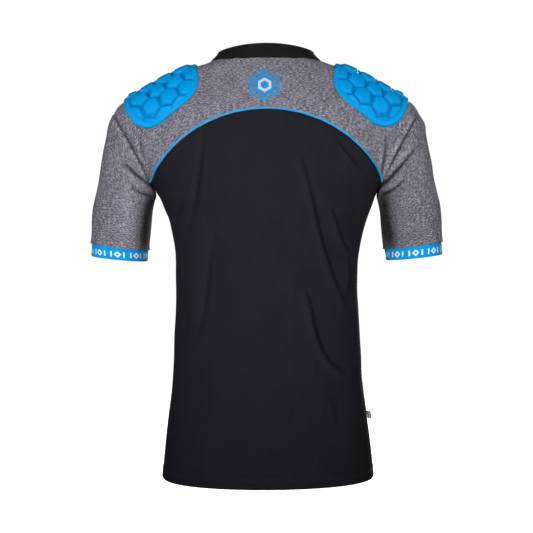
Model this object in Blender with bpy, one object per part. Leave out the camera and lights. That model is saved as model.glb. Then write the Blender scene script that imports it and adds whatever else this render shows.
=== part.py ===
"""Padded rugby top with short sleeves, filled out as when it is worn.

The cloth lies on one smooth figure: a trunk of oval sections blended with two arms. Each sewn
piece is a patch of that figure, bounded by its own seams, with a wall that goes inwards.
Frame: metres, +Z up, the front faces -Y, +X is the wearer's left. The origin is midway between
the two points where the shoulder line meets the neck.
"""

import math
from collections import namedtuple
from functools import lru_cache

import bmesh
import bpy
import numpy as np

# Driving dimensions, in metres
JERSEY_WALL = 0.0015
COLLAR_WALL = 0.0022
CUFF_WALL = 0.0018
SEAM_GAP = 0.0004

HEM_SIDE_HEIGHT = -0.6415
HEM_BACK_DROP = 0.0030
HEM_FRONT_DROP = 0.0010

YOKE_SEAM_RADIUS = 0.2030
YOKE_SEAM_TOP = -0.0830

UNDERARM_X = 0.1725
UNDERARM_HEIGHT = -0.2050
SHOULDER_TIP_X = 0.2360
SHOULDER_TIP_HEIGHT = -0.0790
ARMHOLE_BEND = 1.25
ARMHOLE_CENTRE_HEIGHT = -0.1500

NECK_HALF_WIDTH = 0.0845
NECK_BACK = 0.0570
NECK_FRONT = 0.0670
COLLAR_BACK_RISE = 0.0185
COLLAR_SIDE_RISE = 0.0115
COLLAR_LEAN = 0.0120

CUFF_CENTRE = np.array([0.2290, -0.0130, -0.2880])
CUFF_OUTWARD_TILT = math.radians(6.0)
CUFF_FORWARD_TILT = math.radians(3.0)
CUFF_HEIGHT = 0.0180
CUFF_DRAW_IN = 0.0012
SLEEVE_END_FLARE = 0.0012

PIPING_RADIUS = 0.0019
PIPING_LIFT = 0.0012

PAD_CENTRE_X = 0.1635
PAD_CENTRE_HEIGHT = -0.0370
PAD_SLOPE = math.radians(26.6)
PAD_ROOT_DEPTH = 0.1000
PAD_HALF_ALONG = 0.0620
PAD_HALF_AROUND = 0.0715
PAD_ALONG_SHIFT = -0.0035
PAD_AROUND_SHIFT = 0.0262
PAD_FULLNESS = 3.0
PAD_SKEW = 0.08
PAD_SHEAR = 0.10
PAD_FLANGE = 0.0070
PAD_FLANGE_HEIGHT = 0.0032
PAD_GROOVE_HEIGHT = 0.0034
PAD_SHOULDER_HEIGHT = 0.0078
PAD_CROWN_HEIGHT = 0.0090
PAD_SEAT_GAP = 0.0014
PAD_EDGE_THINNING = 0.45
CELL_PITCH = 0.0300
CELL_ALONG_SHIFT = -0.0125
CELL_AROUND_SHIFT = 0.0165
CELL_GROOVE_HALF_WIDTH = 0.0016
CELL_SHOULDER_WIDTH = 0.0030
CELL_LEAST_AREA = 0.000060

LABEL_HEIGHT = -0.5470
LABEL_LENGTH = 0.0120
LABEL_REACH = 0.0065
LABEL_WALL = 0.0010
LABEL_GAP = 0.0007

# How finely each piece is divided
NECK_COLUMNS = 8
SHOULDER_COLUMNS = 9
LOWER_BACK_ROWS = 20
LOWER_FRONT_ROWS = 15
UNDERARM_ROWS = 3
YOKE_ROWS = 9
SLEEVE_ROWS = 10
CUFF_ROWS = 2
COLLAR_ROWS = 3
PAD_OUTLINE_POINTS = 44

# Oval sections of the trunk and neck, from the hem up. squareness 2 is an ellipse, rounding
# softens the shoulder line of a section that comes to a point at its sides.
Section = namedtuple("Section", "height half_width back front squareness rounding")
TRUNK = (
    Section(-0.670, 0.1645, 0.1130, 0.1080, 2.55, 0.002),
    Section(-0.626, 0.1620, 0.1125, 0.1075, 2.50, 0.002),
    Section(-0.561, 0.1550, 0.1090, 0.1060, 2.40, 0.002),
    Section(-0.496, 0.1468, 0.1040, 0.1045, 2.35, 0.002),
    Section(-0.420, 0.1432, 0.0995, 0.1035, 2.30, 0.002),
    Section(-0.345, 0.1400, 0.0995, 0.1055, 2.30, 0.002),
    Section(-0.282, 0.1440, 0.1050, 0.1140, 2.30, 0.002),
    Section(-0.245, 0.1530, 0.1090, 0.1190, 2.30, 0.002),
    Section(-0.205, 0.1680, 0.1120, 0.1210, 2.30, 0.002),
    Section(-0.150, 0.1900, 0.1100, 0.1120, 2.20, 0.002),
    Section(-0.100, 0.2130, 0.0985, 0.0890, 2.00, 0.002),
    Section(-0.070, 0.2170, 0.0880, 0.0700, 1.75, 0.010),
    Section(-0.053, 0.1945, 0.0810, 0.0610, 1.55, 0.014),
    Section(-0.029, 0.1530, 0.0700, 0.0550, 1.50, 0.014),
    Section(-0.010, 0.1130, 0.0620, 0.0520, 1.75, 0.006),
    Section(0.000, 0.0840, 0.0575, 0.0505, 2.00, 0.002),
    Section(0.012, 0.0765, 0.0540, 0.0490, 2.00, 0.002),
    Section(0.030, 0.0720, 0.0510, 0.0480, 2.00, 0.002),
)

# Level sections of the sleeve, from the cuff up. The top is closed by a half ball.
ArmSection = namedtuple("ArmSection", "height centre_x half_width centre_y half_depth")
ARM = (
    ArmSection(-0.345, 0.2335, 0.0440, -0.0160, 0.0500),
    ArmSection(-0.300, 0.2295, 0.0452, -0.0130, 0.0515),
    ArmSection(-0.264, 0.2260, 0.0465, -0.0100, 0.0530),
    ArmSection(-0.226, 0.2230, 0.0472, -0.0070, 0.0540),
    ArmSection(-0.189, 0.2140, 0.0475, -0.0040, 0.0550),
    ArmSection(-0.150, 0.2070, 0.0478, -0.0020, 0.0560),
    ArmSection(-0.112, 0.2020, 0.0450, 0.0000, 0.0560),
)
ARM_CAP_RISE = 0.0460

# How softly arm and trunk run into each other: sharp in the underarm, soft on the shoulder
Blend = namedtuple("Blend", "height width")
BLENDS = (
    Blend(-0.240, 0.008),
    Blend(-0.205, 0.010),
    Blend(-0.150, 0.026),
    Blend(-0.080, 0.026),
)

# The largest folds, each a soft trough from one end to the other as seen from behind or in front.
# side is 1 for the back and -1 for the front, bow bends the line sideways.
Fold = namedtuple("Fold", "start_x start_z end_x end_z bow depth width side")
FOLDS = (
    Fold(-0.070, -0.212, -0.118, -0.378, 0.010, 0.0030, 0.011, 1),
    Fold(-0.094, -0.226, -0.124, -0.300, 0.004, 0.0024, 0.010, 1),
    Fold(-0.062, -0.362, -0.114, -0.480, -0.014, 0.0030, 0.011, 1),
    Fold(0.086, -0.230, 0.080, -0.370, 0.004, 0.0020, 0.012, 1),
    Fold(0.190, -0.124, 0.173, -0.186, 0.004, 0.0026, 0.009, 1),
    Fold(-0.182, -0.130, -0.173, -0.186, -0.004, 0.0026, 0.009, 1),
    Fold(0.216, -0.158, 0.180, -0.192, 0.003, 0.0026, 0.010, 1),
    Fold(-0.222, -0.142, -0.180, -0.190, -0.003, 0.0026, 0.010, 1),
    Fold(0.165, -0.140, 0.100, -0.230, 0.010, 0.0026, 0.012, -1),
    Fold(-0.165, -0.140, -0.110, -0.250, -0.010, 0.0026, 0.012, -1),
    Fold(0.090, -0.300, 0.120, -0.420, 0.008, 0.0024, 0.012, -1),
)
FOLD_FADE = 0.030

PROBE = 0.0004
MARCH_STEPS = 40
HALVINGS = 18


# Reading a section table
@lru_cache(maxsize=None)
def curve_through(table, name):
    heights = np.array([row.height for row in table])
    values = np.array([getattr(row, name) for row in table])
    return heights, values, np.gradient(values, heights)


def column(table, name, height):
    """Smooth value of one column at any height, through the table's rows."""
    heights, values, slopes = curve_through(table, name)
    at = np.clip(height, heights[0], heights[-1])
    low = np.clip(np.searchsorted(heights, at) - 1, 0, len(heights) - 2)
    span = heights[low + 1] - heights[low]
    t = (at - heights[low]) / span
    rise = (3 - 2 * t) * t * t
    ends = values[low] * (1 - rise) + values[low + 1] * rise
    bend = span * (slopes[low] * t * (1 - t) ** 2 - slopes[low + 1] * t * t * (1 - t))
    return ends + bend


# The figure that the cloth lies on
def rounded(y, rounding):
    """A distance from the shoulder line with its point at zero rounded off."""
    return np.hypot(y, rounding) - rounding


def trunk_level(points):
    x, y, z = np.moveaxis(points, -1, 0)
    depth = np.where(y > 0, column(TRUNK, "back", z), column(TRUNK, "front", z))
    power = column(TRUNK, "squareness", z)
    across = np.abs(x / column(TRUNK, "half_width", z)) ** power
    rounding = column(TRUNK, "rounding", z)
    along = (rounded(y, rounding) / rounded(depth, rounding)) ** power
    return (across + along) ** (1 / power) - 1


def arm_level(points):
    x, y, z = np.moveaxis(points, -1, 0)
    across = (np.abs(x) - column(ARM, "centre_x", z)) / column(ARM, "half_width", z)
    along = (y - column(ARM, "centre_y", z)) / column(ARM, "half_depth", z)
    above = np.maximum(z - ARM[-1].height, 0) / ARM_CAP_RISE
    return np.sqrt(across**2 + along**2 + above**2) - 1


def slope(level, points):
    """Gradient of a level function, by central differences."""
    steps = np.eye(3) * PROBE
    return np.stack([level(points + s) - level(points - s) for s in steps], -1) / (2 * PROBE)


def distance(level, points):
    """Rough distance from a level function: its value over its steepness."""
    here = level(points)
    ahead = np.stack([level(points + step) - here for step in np.eye(3) * PROBE], -1)
    return here / np.maximum(np.linalg.norm(ahead, axis=-1) / PROBE, 1.0)


def figure(points):
    """Signed distance to the cloth, negative inside: trunk and arms run together softly."""
    trunk = distance(trunk_level, points)
    arm = distance(arm_level, points)
    width = column(BLENDS, "width", points[..., 2])
    share = np.clip(0.5 + 0.5 * (arm - trunk) / width, 0, 1)
    return arm * (1 - share) + trunk * share - width * share * (1 - share)


def outward(points):
    steep = slope(figure, points)
    return steep / np.linalg.norm(steep, axis=-1, keepdims=True)


def first_exit(path, count, reach, level=figure):
    """Point of each path where it first comes out of the figure. A path starts inside."""
    near = np.full(count, 0.04 * reach)
    far = near.copy()
    inside = np.ones(count, bool)
    for step in np.linspace(0.04, 1, MARCH_STEPS)[1:] * reach:
        near = np.where(inside, far, near)
        far = np.where(inside, step, far)
        inside &= level(path(far)) < 0
        if not inside.any():
            break
    for _ in range(HALVINGS):
        middle = (near + far) / 2
        is_out = level(path(middle)) > 0
        far = np.where(is_out, middle, far)
        near = np.where(is_out, near, middle)
    return path((near + far) / 2)


def fold_depth(points):
    """How far the folds draw the cloth in at each point."""
    x, y, z = np.moveaxis(points, -1, 0)
    total = np.zeros(x.shape)
    for fold in FOLDS:
        start = np.array([fold.start_x, fold.start_z])
        run = np.array([fold.end_x, fold.end_z]) - start
        length = np.linalg.norm(run)
        ahead = ((x - start[0]) * run[0] + (z - start[1]) * run[1]) / length
        aside = ((x - start[0]) * run[1] - (z - start[1]) * run[0]) / length
        t = np.clip(ahead / length, 0, 1)
        aside = aside - fold.bow * 4 * t * (1 - t)
        past = np.maximum(np.abs(ahead - length / 2) - length / 2, 0)
        near = np.exp(-((aside / fold.width) ** 2) - (past / fold.width) ** 2)
        facing = np.clip(fold.side * y / FOLD_FADE, 0, 1)
        total += fold.depth * near * facing * np.sin(math.pi * (0.15 + 0.7 * t))
    return total


def on_cloth(points):
    """The cloth's outer points and their normals, with the folds drawn in."""
    normals = outward(points)
    return points - normals * fold_depth(points)[..., None], normals


# Paths from the inside to the cloth
def armhole_x(height):
    """The armhole seam's place across, at each height: upright below, slanting outwards above."""
    rise = (height - UNDERARM_HEIGHT) / (SHOULDER_TIP_HEIGHT - UNDERARM_HEIGHT)
    out = SHOULDER_TIP_X - UNDERARM_X
    return UNDERARM_X + out * np.maximum(rise, 0) ** ARMHOLE_BEND


def body_side(points):
    """As the figure, but also ended by the armhole seam."""
    return np.maximum(figure(points), np.abs(points[..., 0]) - armhole_x(points[..., 2]))


def level_point(turn, height):
    """Where a level line from the trunk's middle meets the cloth. turn 0 is straight back."""

    def path(r):
        return np.stack([r * np.sin(turn), r * np.cos(turn), height + 0 * r], -1)

    return first_exit(path, len(turn), 0.34, body_side)


def shoulder_point(share, turn):
    """Where a line in a slanting shoulder section meets the cloth.

    share is 0 in the middle and 1 in the armhole seam; turn is 0 upwards and positive backwards.
    """

    def path(r):
        z = ARMHOLE_CENTRE_HEIGHT + r * np.cos(turn)
        return np.stack([share * armhole_x(z), r * np.sin(turn), z], -1)

    return first_exit(path, len(turn), 0.24)


def pad_point(along, turn):
    """As shoulder_point, but in a section square to the shoulder's slope."""
    out, down = math.cos(PAD_SLOPE), math.sin(PAD_SLOPE)
    root_x = PAD_CENTRE_X + along * out - PAD_ROOT_DEPTH * down
    root_z = PAD_CENTRE_HEIGHT - along * down - PAD_ROOT_DEPTH * out

    def path(r):
        up = r * np.cos(turn)
        return np.stack([root_x + up * down, r * np.sin(turn), root_z + up * out], -1)

    return first_exit(path, len(turn), 0.20)


def sleeve_point(side, along, turn):
    """Where a sleeve ring meets the cloth. along is 0 in the armhole seam and 1 at the cuff seam."""
    out, front = CUFF_OUTWARD_TILT, CUFF_FORWARD_TILT
    up_side = np.array([math.cos(out), 0, math.sin(out)])
    back_side = np.array([0, math.cos(front), -math.sin(front)])
    down = np.cross(back_side, up_side)

    def path(r):
        z = ARMHOLE_CENTRE_HEIGHT + r * np.cos(turn)
        hole = np.stack([armhole_x(z), r * np.sin(turn), z], -1)
        spoke = np.cos(turn)[:, None] * up_side + np.sin(turn)[:, None] * back_side
        cuff = CUFF_CENTRE + r[:, None] * spoke
        past = np.maximum(along - 1, 0)[:, None] * CUFF_HEIGHT * down
        share = np.minimum(along, 1)[:, None]
        return hole * (1 - share) + cuff * share + past

    points = first_exit(path, len(turn), 0.17)
    return points * np.array([side, 1, 1])


# Seam lines
def neck_point(turn):
    """Points of the neck seam: an oval in plan, at the cloth's own height. turn 0 is the back."""
    x = NECK_HALF_WIDTH * np.sin(turn)
    y = np.where(np.cos(turn) > 0, NECK_BACK, NECK_FRONT) * np.cos(turn)

    def path(r):
        return np.stack([x, y, r - 0.125], -1)

    return first_exit(path, len(turn), 0.16)


def hem_height(turn, side):
    drop = HEM_BACK_DROP if side > 0 else HEM_FRONT_DROP
    return HEM_SIDE_HEIGHT - drop * np.cos(turn) ** 2


def columns():
    """Even steps from -1 to 1, one for each column of a body panel."""
    return np.linspace(-1, 1, 2 * (NECK_COLUMNS + SHOULDER_COLUMNS) + 1)


def yoke_arc(turn):
    """Place across and height along the circle that the yoke seam follows."""
    return (YOKE_SEAM_RADIUS * np.sin(turn),
            YOKE_SEAM_TOP - YOKE_SEAM_RADIUS * (1 - np.cos(turn)))


def yoke_arc_end():
    """The turn along that circle at which it runs into the armhole seam."""
    turn = np.linspace(0.8, 1.3, 2001)
    x, z = yoke_arc(turn)
    return turn[np.argmax(x > armhole_x(z))]


@lru_cache(maxsize=None)
def yoke_seam(side):
    """Points of the arched seam between a body panel and its yoke."""
    x, z = yoke_arc(columns() * yoke_arc_end())
    share = x / armhole_x(z)
    return seam_on_shoulder(share, z, side)


def seam_on_shoulder(share, height, side):
    """Points of the cloth at given shares across and heights, found by halving the turn."""
    wide = np.abs(share)
    low = np.full(len(share), math.radians(4.0))
    high = np.full(len(share), math.radians(176.0))
    for _ in range(HALVINGS):
        middle = (low + high) / 2
        above = shoulder_point(wide, side * middle)[:, 2] > height
        low = np.where(above, middle, low)
        high = np.where(above, high, middle)
    found = shoulder_point(wide, side * (low + high) / 2)
    found[:, 0] *= np.sign(share)
    return found


def neck_and_shoulder(side):
    """Points of a yoke's top edge: shoulder seam, round the neck, shoulder seam."""
    quarter = math.pi / 2
    turn = np.linspace(-quarter, quarter, 2 * NECK_COLUMNS + 1)
    if side < 0:
        turn = math.pi - turn
    neck = neck_point(turn)
    neck_share = neck[-1, 0] / armhole_x(neck[-1, 2])
    outer = np.linspace(neck_share, 1, SHOULDER_COLUMNS + 1)[1:]
    ridge = shoulder_point(outer, np.zeros(SHOULDER_COLUMNS))
    return np.concatenate([ridge[::-1] * [-1, 1, 1], neck, ridge])


# Grids of points for each kind of piece
@lru_cache(maxsize=None)
def underarm_height():
    """Height of the lowest point of the armhole, where the side seam ends."""
    return sleeve_point(1, np.zeros(1), np.full(1, math.pi))[0, 2]


@lru_cache(maxsize=None)
def armhole_turns(side):
    """Heights up the armhole seam, and the turn from the trunk's middle at which it lies."""
    turn = np.radians(np.linspace(179.9, 60, 60))
    hole = shoulder_point(np.ones(60), side * turn)
    return hole[:, 2], np.arctan2(hole[:, 0], side * hole[:, 1])


def widest_turn(height, side):
    """The turn of a body panel's side edge: its side seam, or above that the armhole seam."""
    heights, turns = armhole_turns(side)
    return np.where(height > underarm_height(), np.interp(height, heights, turns), math.pi / 2)


def body_grid(side, lower_rows):
    """Rows of points of the front or back panel, from the hem to the yoke seam."""
    seam = yoke_seam(side)
    across = columns()
    seam_turn = np.abs(np.arctan2(seam[:, 0], side * seam[:, 1]))
    seam_share = seam_turn / widest_turn(seam[:, 2], side)
    seam_share[[0, -1]] = 1
    hem = hem_height(across * math.pi / 2, side)
    corner = (underarm_height() - hem[0]) / (seam[0, 2] - hem[0])
    lower = np.linspace(0, corner, lower_rows + 1)
    upper = np.linspace(corner, 1, UNDERARM_ROWS + 1)[1:-1]
    share = np.concatenate([lower, upper])[:, None]
    height = hem + (seam[:, 2] - hem) * share
    spread = np.abs(across) * (1 - share) + seam_share * share
    turn = np.sign(across) * spread * widest_turn(height, side)
    if side < 0:
        turn = math.pi - turn
    found = level_point(turn.ravel(), height.ravel()).reshape(*turn.shape, 3)
    return np.concatenate([found, seam[None]])


def yoke_grid(side):
    """Rows of points of the front or back yoke, from its arched seam to neck and shoulder."""
    seam, top = yoke_seam(side), neck_and_shoulder(side)

    def section(points):
        turn = np.arctan2(points[:, 1], points[:, 2] - ARMHOLE_CENTRE_HEIGHT)
        return points[:, 0] / armhole_x(points[:, 2]), turn

    seam_share, seam_turn = section(seam)
    top_share, top_turn = section(top)
    rise = np.linspace(0, 1, YOKE_ROWS + 1)[1:-1, None]
    share = seam_share + (top_share - seam_share) * rise
    turn = seam_turn + (top_turn - seam_turn) * rise
    share[:, [0, -1]] = -1, 1
    found = shoulder_point(np.abs(share.ravel()), turn.ravel()).reshape(*turn.shape, 3)
    found[..., 0] *= np.sign(share)
    return np.concatenate([seam[None], found, top[None]])


@lru_cache(maxsize=None)
def armhole_columns():
    """The turns round the armhole at which the body panels and yokes have their edge points."""
    turns = []
    for side, rows in ((1, LOWER_BACK_ROWS), (-1, LOWER_FRONT_ROWS)):
        body = body_grid(side, rows)[-UNDERARM_ROWS:, -1]
        yoke = yoke_grid(side)[1:, -1]
        edge = np.concatenate([body, yoke])
        turns.append(np.arctan2(edge[:, 1], edge[:, 2] - ARMHOLE_CENTRE_HEIGHT))
    return np.concatenate([[math.pi], turns[0][:-1], [0], turns[1][-2::-1], [-math.pi]])


def sleeve_grid(side, start, end, rows):
    """Rings of points of a sleeve or cuff. The first and last column are the same line."""
    along, turn = np.meshgrid(np.linspace(start, end, rows + 1), armhole_columns(), indexing="ij")
    return sleeve_point(side, along.ravel(), turn.ravel()).reshape(*turn.shape, 3)


def collar_grid():
    """Rows of points of the stand collar: up from the neck seam, leaning in."""
    turn = np.linspace(-math.pi, math.pi, 4 * NECK_COLUMNS + 1)
    rise = COLLAR_SIDE_RISE + (COLLAR_BACK_RISE - COLLAR_SIDE_RISE) * np.cos(turn) ** 2
    lean = COLLAR_LEAN * np.stack([np.sin(turn), 0.45 * np.cos(turn)], -1)
    base = neck_point(turn)
    share = np.linspace(0, 1, COLLAR_ROWS + 1)[:, None]
    x = base[:, 0] - lean[:, 0] * share
    y = base[:, 1] - lean[:, 1] * share
    return np.stack([x, y, base[:, 2] + rise * share], -1)


# Turning grids into solids
def material(name, colour, roughness):
    made = bpy.data.materials.new(name)
    made.use_nodes = True
    shader = made.node_tree.nodes["Principled BSDF"]
    shader.inputs["Base Color"].default_value = (*colour, 1)
    shader.inputs["Roughness"].default_value = roughness
    shader.inputs["Metallic"].default_value = 0
    return made


def finish(name, mesh_builder, finish_material):
    """Turns a bmesh into a named, smooth-shaded object."""
    bmesh.ops.recalc_face_normals(mesh_builder, faces=mesh_builder.faces)
    mesh = bpy.data.meshes.new(name)
    mesh_builder.to_mesh(mesh)
    mesh_builder.free()
    mesh.shade_smooth()
    mesh.set_sharp_from_angle(angle=math.radians(40))
    mesh.materials.append(finish_material)
    made = bpy.data.objects.new(name, mesh)
    bpy.context.scene.collection.objects.link(made)
    return made


def draw_back(points, closed):
    """Pulls a patch's edges in by half the seam gap, so that neighbours stay apart."""
    pulled = points.copy()
    for edge, inner in ((0, 1), (-1, -2)):
        pulled[edge] += square_step(points[edge], points[inner], closed)
        if not closed:
            pulled[:, edge] += square_step(points[:, edge], points[:, inner], False)
    return pulled


def square_step(edge, inner, closed):
    """Half a seam gap, square to an edge line and towards the next line of points."""
    run = np.gradient(edge, axis=0)
    if closed:
        run[[0, -1]] = edge[1] - edge[-2]
    run /= np.linalg.norm(run, axis=-1, keepdims=True)
    inwards = inner - edge
    inwards -= run * np.sum(inwards * run, axis=-1, keepdims=True)
    return SEAM_GAP / 2 * inwards / np.linalg.norm(inwards, axis=-1, keepdims=True)


def grid_normals(points):
    """Outward normals of a grid that stands free of the figure, from its own rows and columns."""
    down = np.gradient(points, axis=0)
    across = np.gradient(points, axis=1)
    across[:, [0, -1]] = (points[:, 1] - points[:, -2])[:, None]
    normals = np.cross(across, down)
    return normals / np.linalg.norm(normals, axis=-1, keepdims=True)


def wall(name, points, thickness, cloth_material, closed=False, lift=None, free=False):
    """A sewn piece: a grid laid on the cloth, extruded inwards to its thickness."""
    points = draw_back(points, closed)
    if free:
        normals = grid_normals(points)
    else:
        points, normals = on_cloth(points)
    if lift is not None:
        points = points + normals * lift[:, None, None]
    inside = points - normals * thickness
    rows, across = points.shape[0] - 1, points.shape[1] - 1
    built = bmesh.new()
    bmesh.ops.create_grid(built, x_segments=across, y_segments=rows, size=1)
    row_layer = built.verts.layers.int.new("row")
    column_layer = built.verts.layers.int.new("column")
    for vert in built.verts:
        vert[row_layer] = round((vert.co.y + 1) / 2 * rows)
        vert[column_layer] = round((vert.co.x + 1) / 2 * across)
    outside = list(built.verts)
    extruded = bmesh.ops.extrude_face_region(built, geom=built.faces[:], use_keep_orig=True)
    within = [item for item in extruded["geom"] if isinstance(item, bmesh.types.BMVert)]
    for verts, place in ((outside, points), (within, inside)):
        for vert in verts:
            vert.co = place[vert[row_layer], vert[column_layer]]
    if closed:
        close_tube(built, outside + within, column_layer, across)
    bmesh.ops.triangulate(built, faces=built.faces, quad_method="SHORT_EDGE")
    return finish(name, built, cloth_material)


def close_tube(built, verts, column_layer, across):
    """Joins the first and last column of a ring-shaped piece and drops the walls between them."""
    ends = {0, across}
    walls = [f for f in built.faces if len({v[column_layer] for v in f.verts}) == 1
             and f.verts[0][column_layer] in ends]
    bmesh.ops.delete(built, geom=walls, context="FACES_ONLY")
    edge_verts = [v for v in verts if v.is_valid and v[column_layer] in ends]
    bmesh.ops.remove_doubles(built, verts=edge_verts, dist=0.00002)


def make_piping(cloth_material):
    """The cord along the back yoke seam: a round tube laid on the seam."""
    points, normals = on_cloth(yoke_seam(1))
    centres = points + normals * (PIPING_RADIUS + PIPING_LIFT)
    curve = bpy.data.curves.new("piping_back", "CURVE")
    curve.dimensions = "3D"
    curve.bevel_depth = PIPING_RADIUS
    curve.bevel_resolution = 2
    curve.use_fill_caps = True
    spline = curve.splines.new("POLY")
    spline.points.add(len(centres) - 1)
    for point, centre in zip(spline.points, centres):
        point.co = (*centre, 1)
    curve.materials.append(cloth_material)
    made = bpy.data.objects.new("piping_back", curve)
    bpy.context.scene.collection.objects.link(made)


# Shoulder pads
class ShoulderMap:
    """Maps flat pad places, in metres along and around the shoulder, onto the cloth."""

    def __init__(self, side):
        self.side = side
        self.along = np.linspace(-0.085, 0.085, 35)
        self.turns = np.radians(np.linspace(-110, 110, 111))
        along, turn = np.meshgrid(self.along, self.turns, indexing="ij")
        grid = pad_point(along.ravel(), turn.ravel()).reshape(*along.shape, 3)
        self.around = np.array([self.lengths(row) for row in grid])
        middle = len(self.turns) // 2
        self.around -= self.around[:, middle : middle + 1]

    @staticmethod
    def lengths(line):
        steps = np.linalg.norm(np.diff(line, axis=0), axis=-1)
        return np.concatenate([[0], np.cumsum(steps)])

    def place(self, flat):
        """The cloth point and normal for each flat (along, around) place."""
        along = flat[:, 0] + PAD_SHEAR * flat[:, 1]
        row = np.interp(along, self.along, np.arange(len(self.along)))
        low = np.clip(row.astype(int), 0, len(self.along) - 2)
        mix = row - low
        turns = []
        for k in (low, low + 1):
            turns.append([np.interp(q, self.around[i], self.turns) for q, i in zip(flat[:, 1], k)])
        turn = (1 - mix) * np.array(turns[0]) + mix * np.array(turns[1])
        points, normals = on_cloth(pad_point(along, turn) * [self.side, 1, 1])
        return points, normals


def outline_point(turn, shrink):
    """A point of the pad's full oval outline, drawn in by shrink, at a turn from its middle."""
    across, up = np.cos(turn), np.sin(turn)
    reach = (np.abs(across) ** PAD_FULLNESS + np.abs(up) ** PAD_FULLNESS) ** (-1 / PAD_FULLNESS)
    along = PAD_ALONG_SHIFT + (PAD_HALF_ALONG - shrink) * reach * across
    around = PAD_AROUND_SHIFT + (PAD_HALF_AROUND - shrink) * reach * up + PAD_SKEW * along
    return np.stack([along, around], -1)


def from_middle(flat, shrink):
    """Places relative to the pad's middle, in shares of its half size drawn in by shrink."""
    along = (flat[..., 0] - PAD_ALONG_SHIFT) / (PAD_HALF_ALONG - shrink)
    around = flat[..., 1] - PAD_AROUND_SHIFT - PAD_SKEW * flat[..., 0]
    return along, around / (PAD_HALF_AROUND - shrink)


def oval(shrink):
    """Corner points of the pad's outline, drawn in by shrink."""
    return outline_point(np.linspace(0, 2 * math.pi, PAD_OUTLINE_POINTS, endpoint=False), shrink)


def clip_to_outline(polygon, outline):
    """The part of a convex polygon that lies inside a convex outline."""
    kept = [np.array(p) for p in polygon]
    for start, end in zip(outline, np.roll(outline, -1, axis=0)):
        edge = end - start
        inside = [edge[0] * (p - start)[1] - edge[1] * (p - start)[0] for p in kept]
        cut = []
        for i, point in enumerate(kept):
            j = (i + 1) % len(kept)
            if inside[i] >= 0:
                cut.append(point)
            if inside[i] * inside[j] < 0:
                share = inside[i] / (inside[i] - inside[j])
                cut.append(point + (kept[j] - point) * share)
        kept = cut
    return kept


def honeycomb():
    """The six-sided cells that fill the pad inside its flange, cut off at the flange."""
    outline = oval(PAD_FLANGE)
    corner = CELL_PITCH / math.sqrt(3)
    row_step = CELL_PITCH * math.sqrt(3) / 2
    turns = np.radians(np.arange(30, 390, 60))
    cells = []
    for row in range(-4, 5):
        for place in range(-4, 5):
            centre = np.array([(place + 0.5 * (row % 2)) * CELL_PITCH + CELL_ALONG_SHIFT,
                               row * row_step + CELL_AROUND_SHIFT])
            six = centre + corner * np.stack([np.cos(turns), np.sin(turns)], -1)
            cell = clip_to_outline(six, outline)
            if len(cell) > 2:
                cells.append(cell)
    return cells


def raise_cells(built, cells):
    """Raises each cell out of the groove round it: a steep side, a soft shoulder and a crown."""
    for cell in cells:
        if cell.calc_area() < CELL_LEAST_AREA:
            continue
        middle = cell.calc_center_median()
        reach = min((vert.co - middle).length for vert in cell.verts)
        for step, height in ((CELL_GROOVE_HALF_WIDTH, PAD_SHOULDER_HEIGHT),
                             (CELL_SHOULDER_WIDTH, PAD_CROWN_HEIGHT)):
            bmesh.ops.inset_individual(built, faces=[cell], thickness=min(step, reach * 0.3),
                                       use_even_offset=True)
            for vert in cell.verts:
                vert.co.z = height
        top = bmesh.ops.poke(built, faces=[cell])
        top["verts"][0].co.z = PAD_CROWN_HEIGHT


def make_pad(name, side, foam_material):
    """A moulded foam pad: a flange and raised cells on top, plain below, bent over the shoulder."""
    built = bmesh.new()
    for cell in honeycomb():
        built.faces.new([built.verts.new((*point, PAD_GROOVE_HEIGHT)) for point in cell])
    bmesh.ops.remove_doubles(built, verts=built.verts, dist=0.0004)
    bmesh.ops.dissolve_degenerate(built, edges=built.edges, dist=0.0002)
    cells = list(built.faces)
    rim = [edge for edge in built.edges if edge.is_boundary]
    outer = bmesh.ops.extrude_edge_only(built, edges=rim)
    for vert in (item for item in outer["geom"] if isinstance(item, bmesh.types.BMVert)):
        along, around = from_middle(np.array(vert.co), PAD_FLANGE)
        vert.co = (*outline_point(math.atan2(around, along), 0), PAD_FLANGE_HEIGHT)
    base = bmesh.ops.extrude_face_region(built, geom=built.faces[:], use_keep_orig=True)
    base_faces = [item for item in base["geom"] if isinstance(item, bmesh.types.BMFace)]
    for item in base["geom"]:
        if isinstance(item, bmesh.types.BMVert):
            item.co.z = 0
    bmesh.ops.poke(built, faces=[face for face in base_faces if len(face.verts) > 4])
    raise_cells(built, cells)
    flat = np.array([vert.co for vert in built.verts])
    out = np.hypot(*from_middle(flat, 0))
    above = np.maximum(flat[:, 2] - PAD_GROOVE_HEIGHT, 0)
    flat[:, 2] -= above * PAD_EDGE_THINNING * np.minimum(out, 1) ** 2
    points, normals = ShoulderMap(side).place(flat)
    bent = points + normals * (flat[:, 2:] + PAD_SEAT_GAP)
    for vert, place in zip(built.verts, bent):
        vert.co = place
    bmesh.ops.triangulate(built, faces=built.faces)
    return finish(name, built, foam_material)


def make_label(label_material):
    """The folded woven tag in the side seam on the wearer's right."""
    built = bmesh.new()
    bmesh.ops.create_cube(built, size=1)
    outwards = [e for e in built.edges if abs((e.verts[0].co - e.verts[1].co).x) > 0.5]
    bmesh.ops.subdivide_edges(built, edges=outwards, cuts=3, use_grid_fill=True)
    for vert in built.verts:
        out = 0.5 - vert.co.x
        height = LABEL_HEIGHT + LABEL_LENGTH * (vert.co.z - 0.10 * out * out)
        seam = level_point(np.full(1, -math.pi / 2), np.full(1, height))[0]
        back = vert.co.y * LABEL_WALL + 0.25 * LABEL_REACH * out * out
        vert.co = (seam[0] - LABEL_GAP - LABEL_REACH * out, seam[1] + back, height)
    return finish("side_label", built, label_material)


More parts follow.
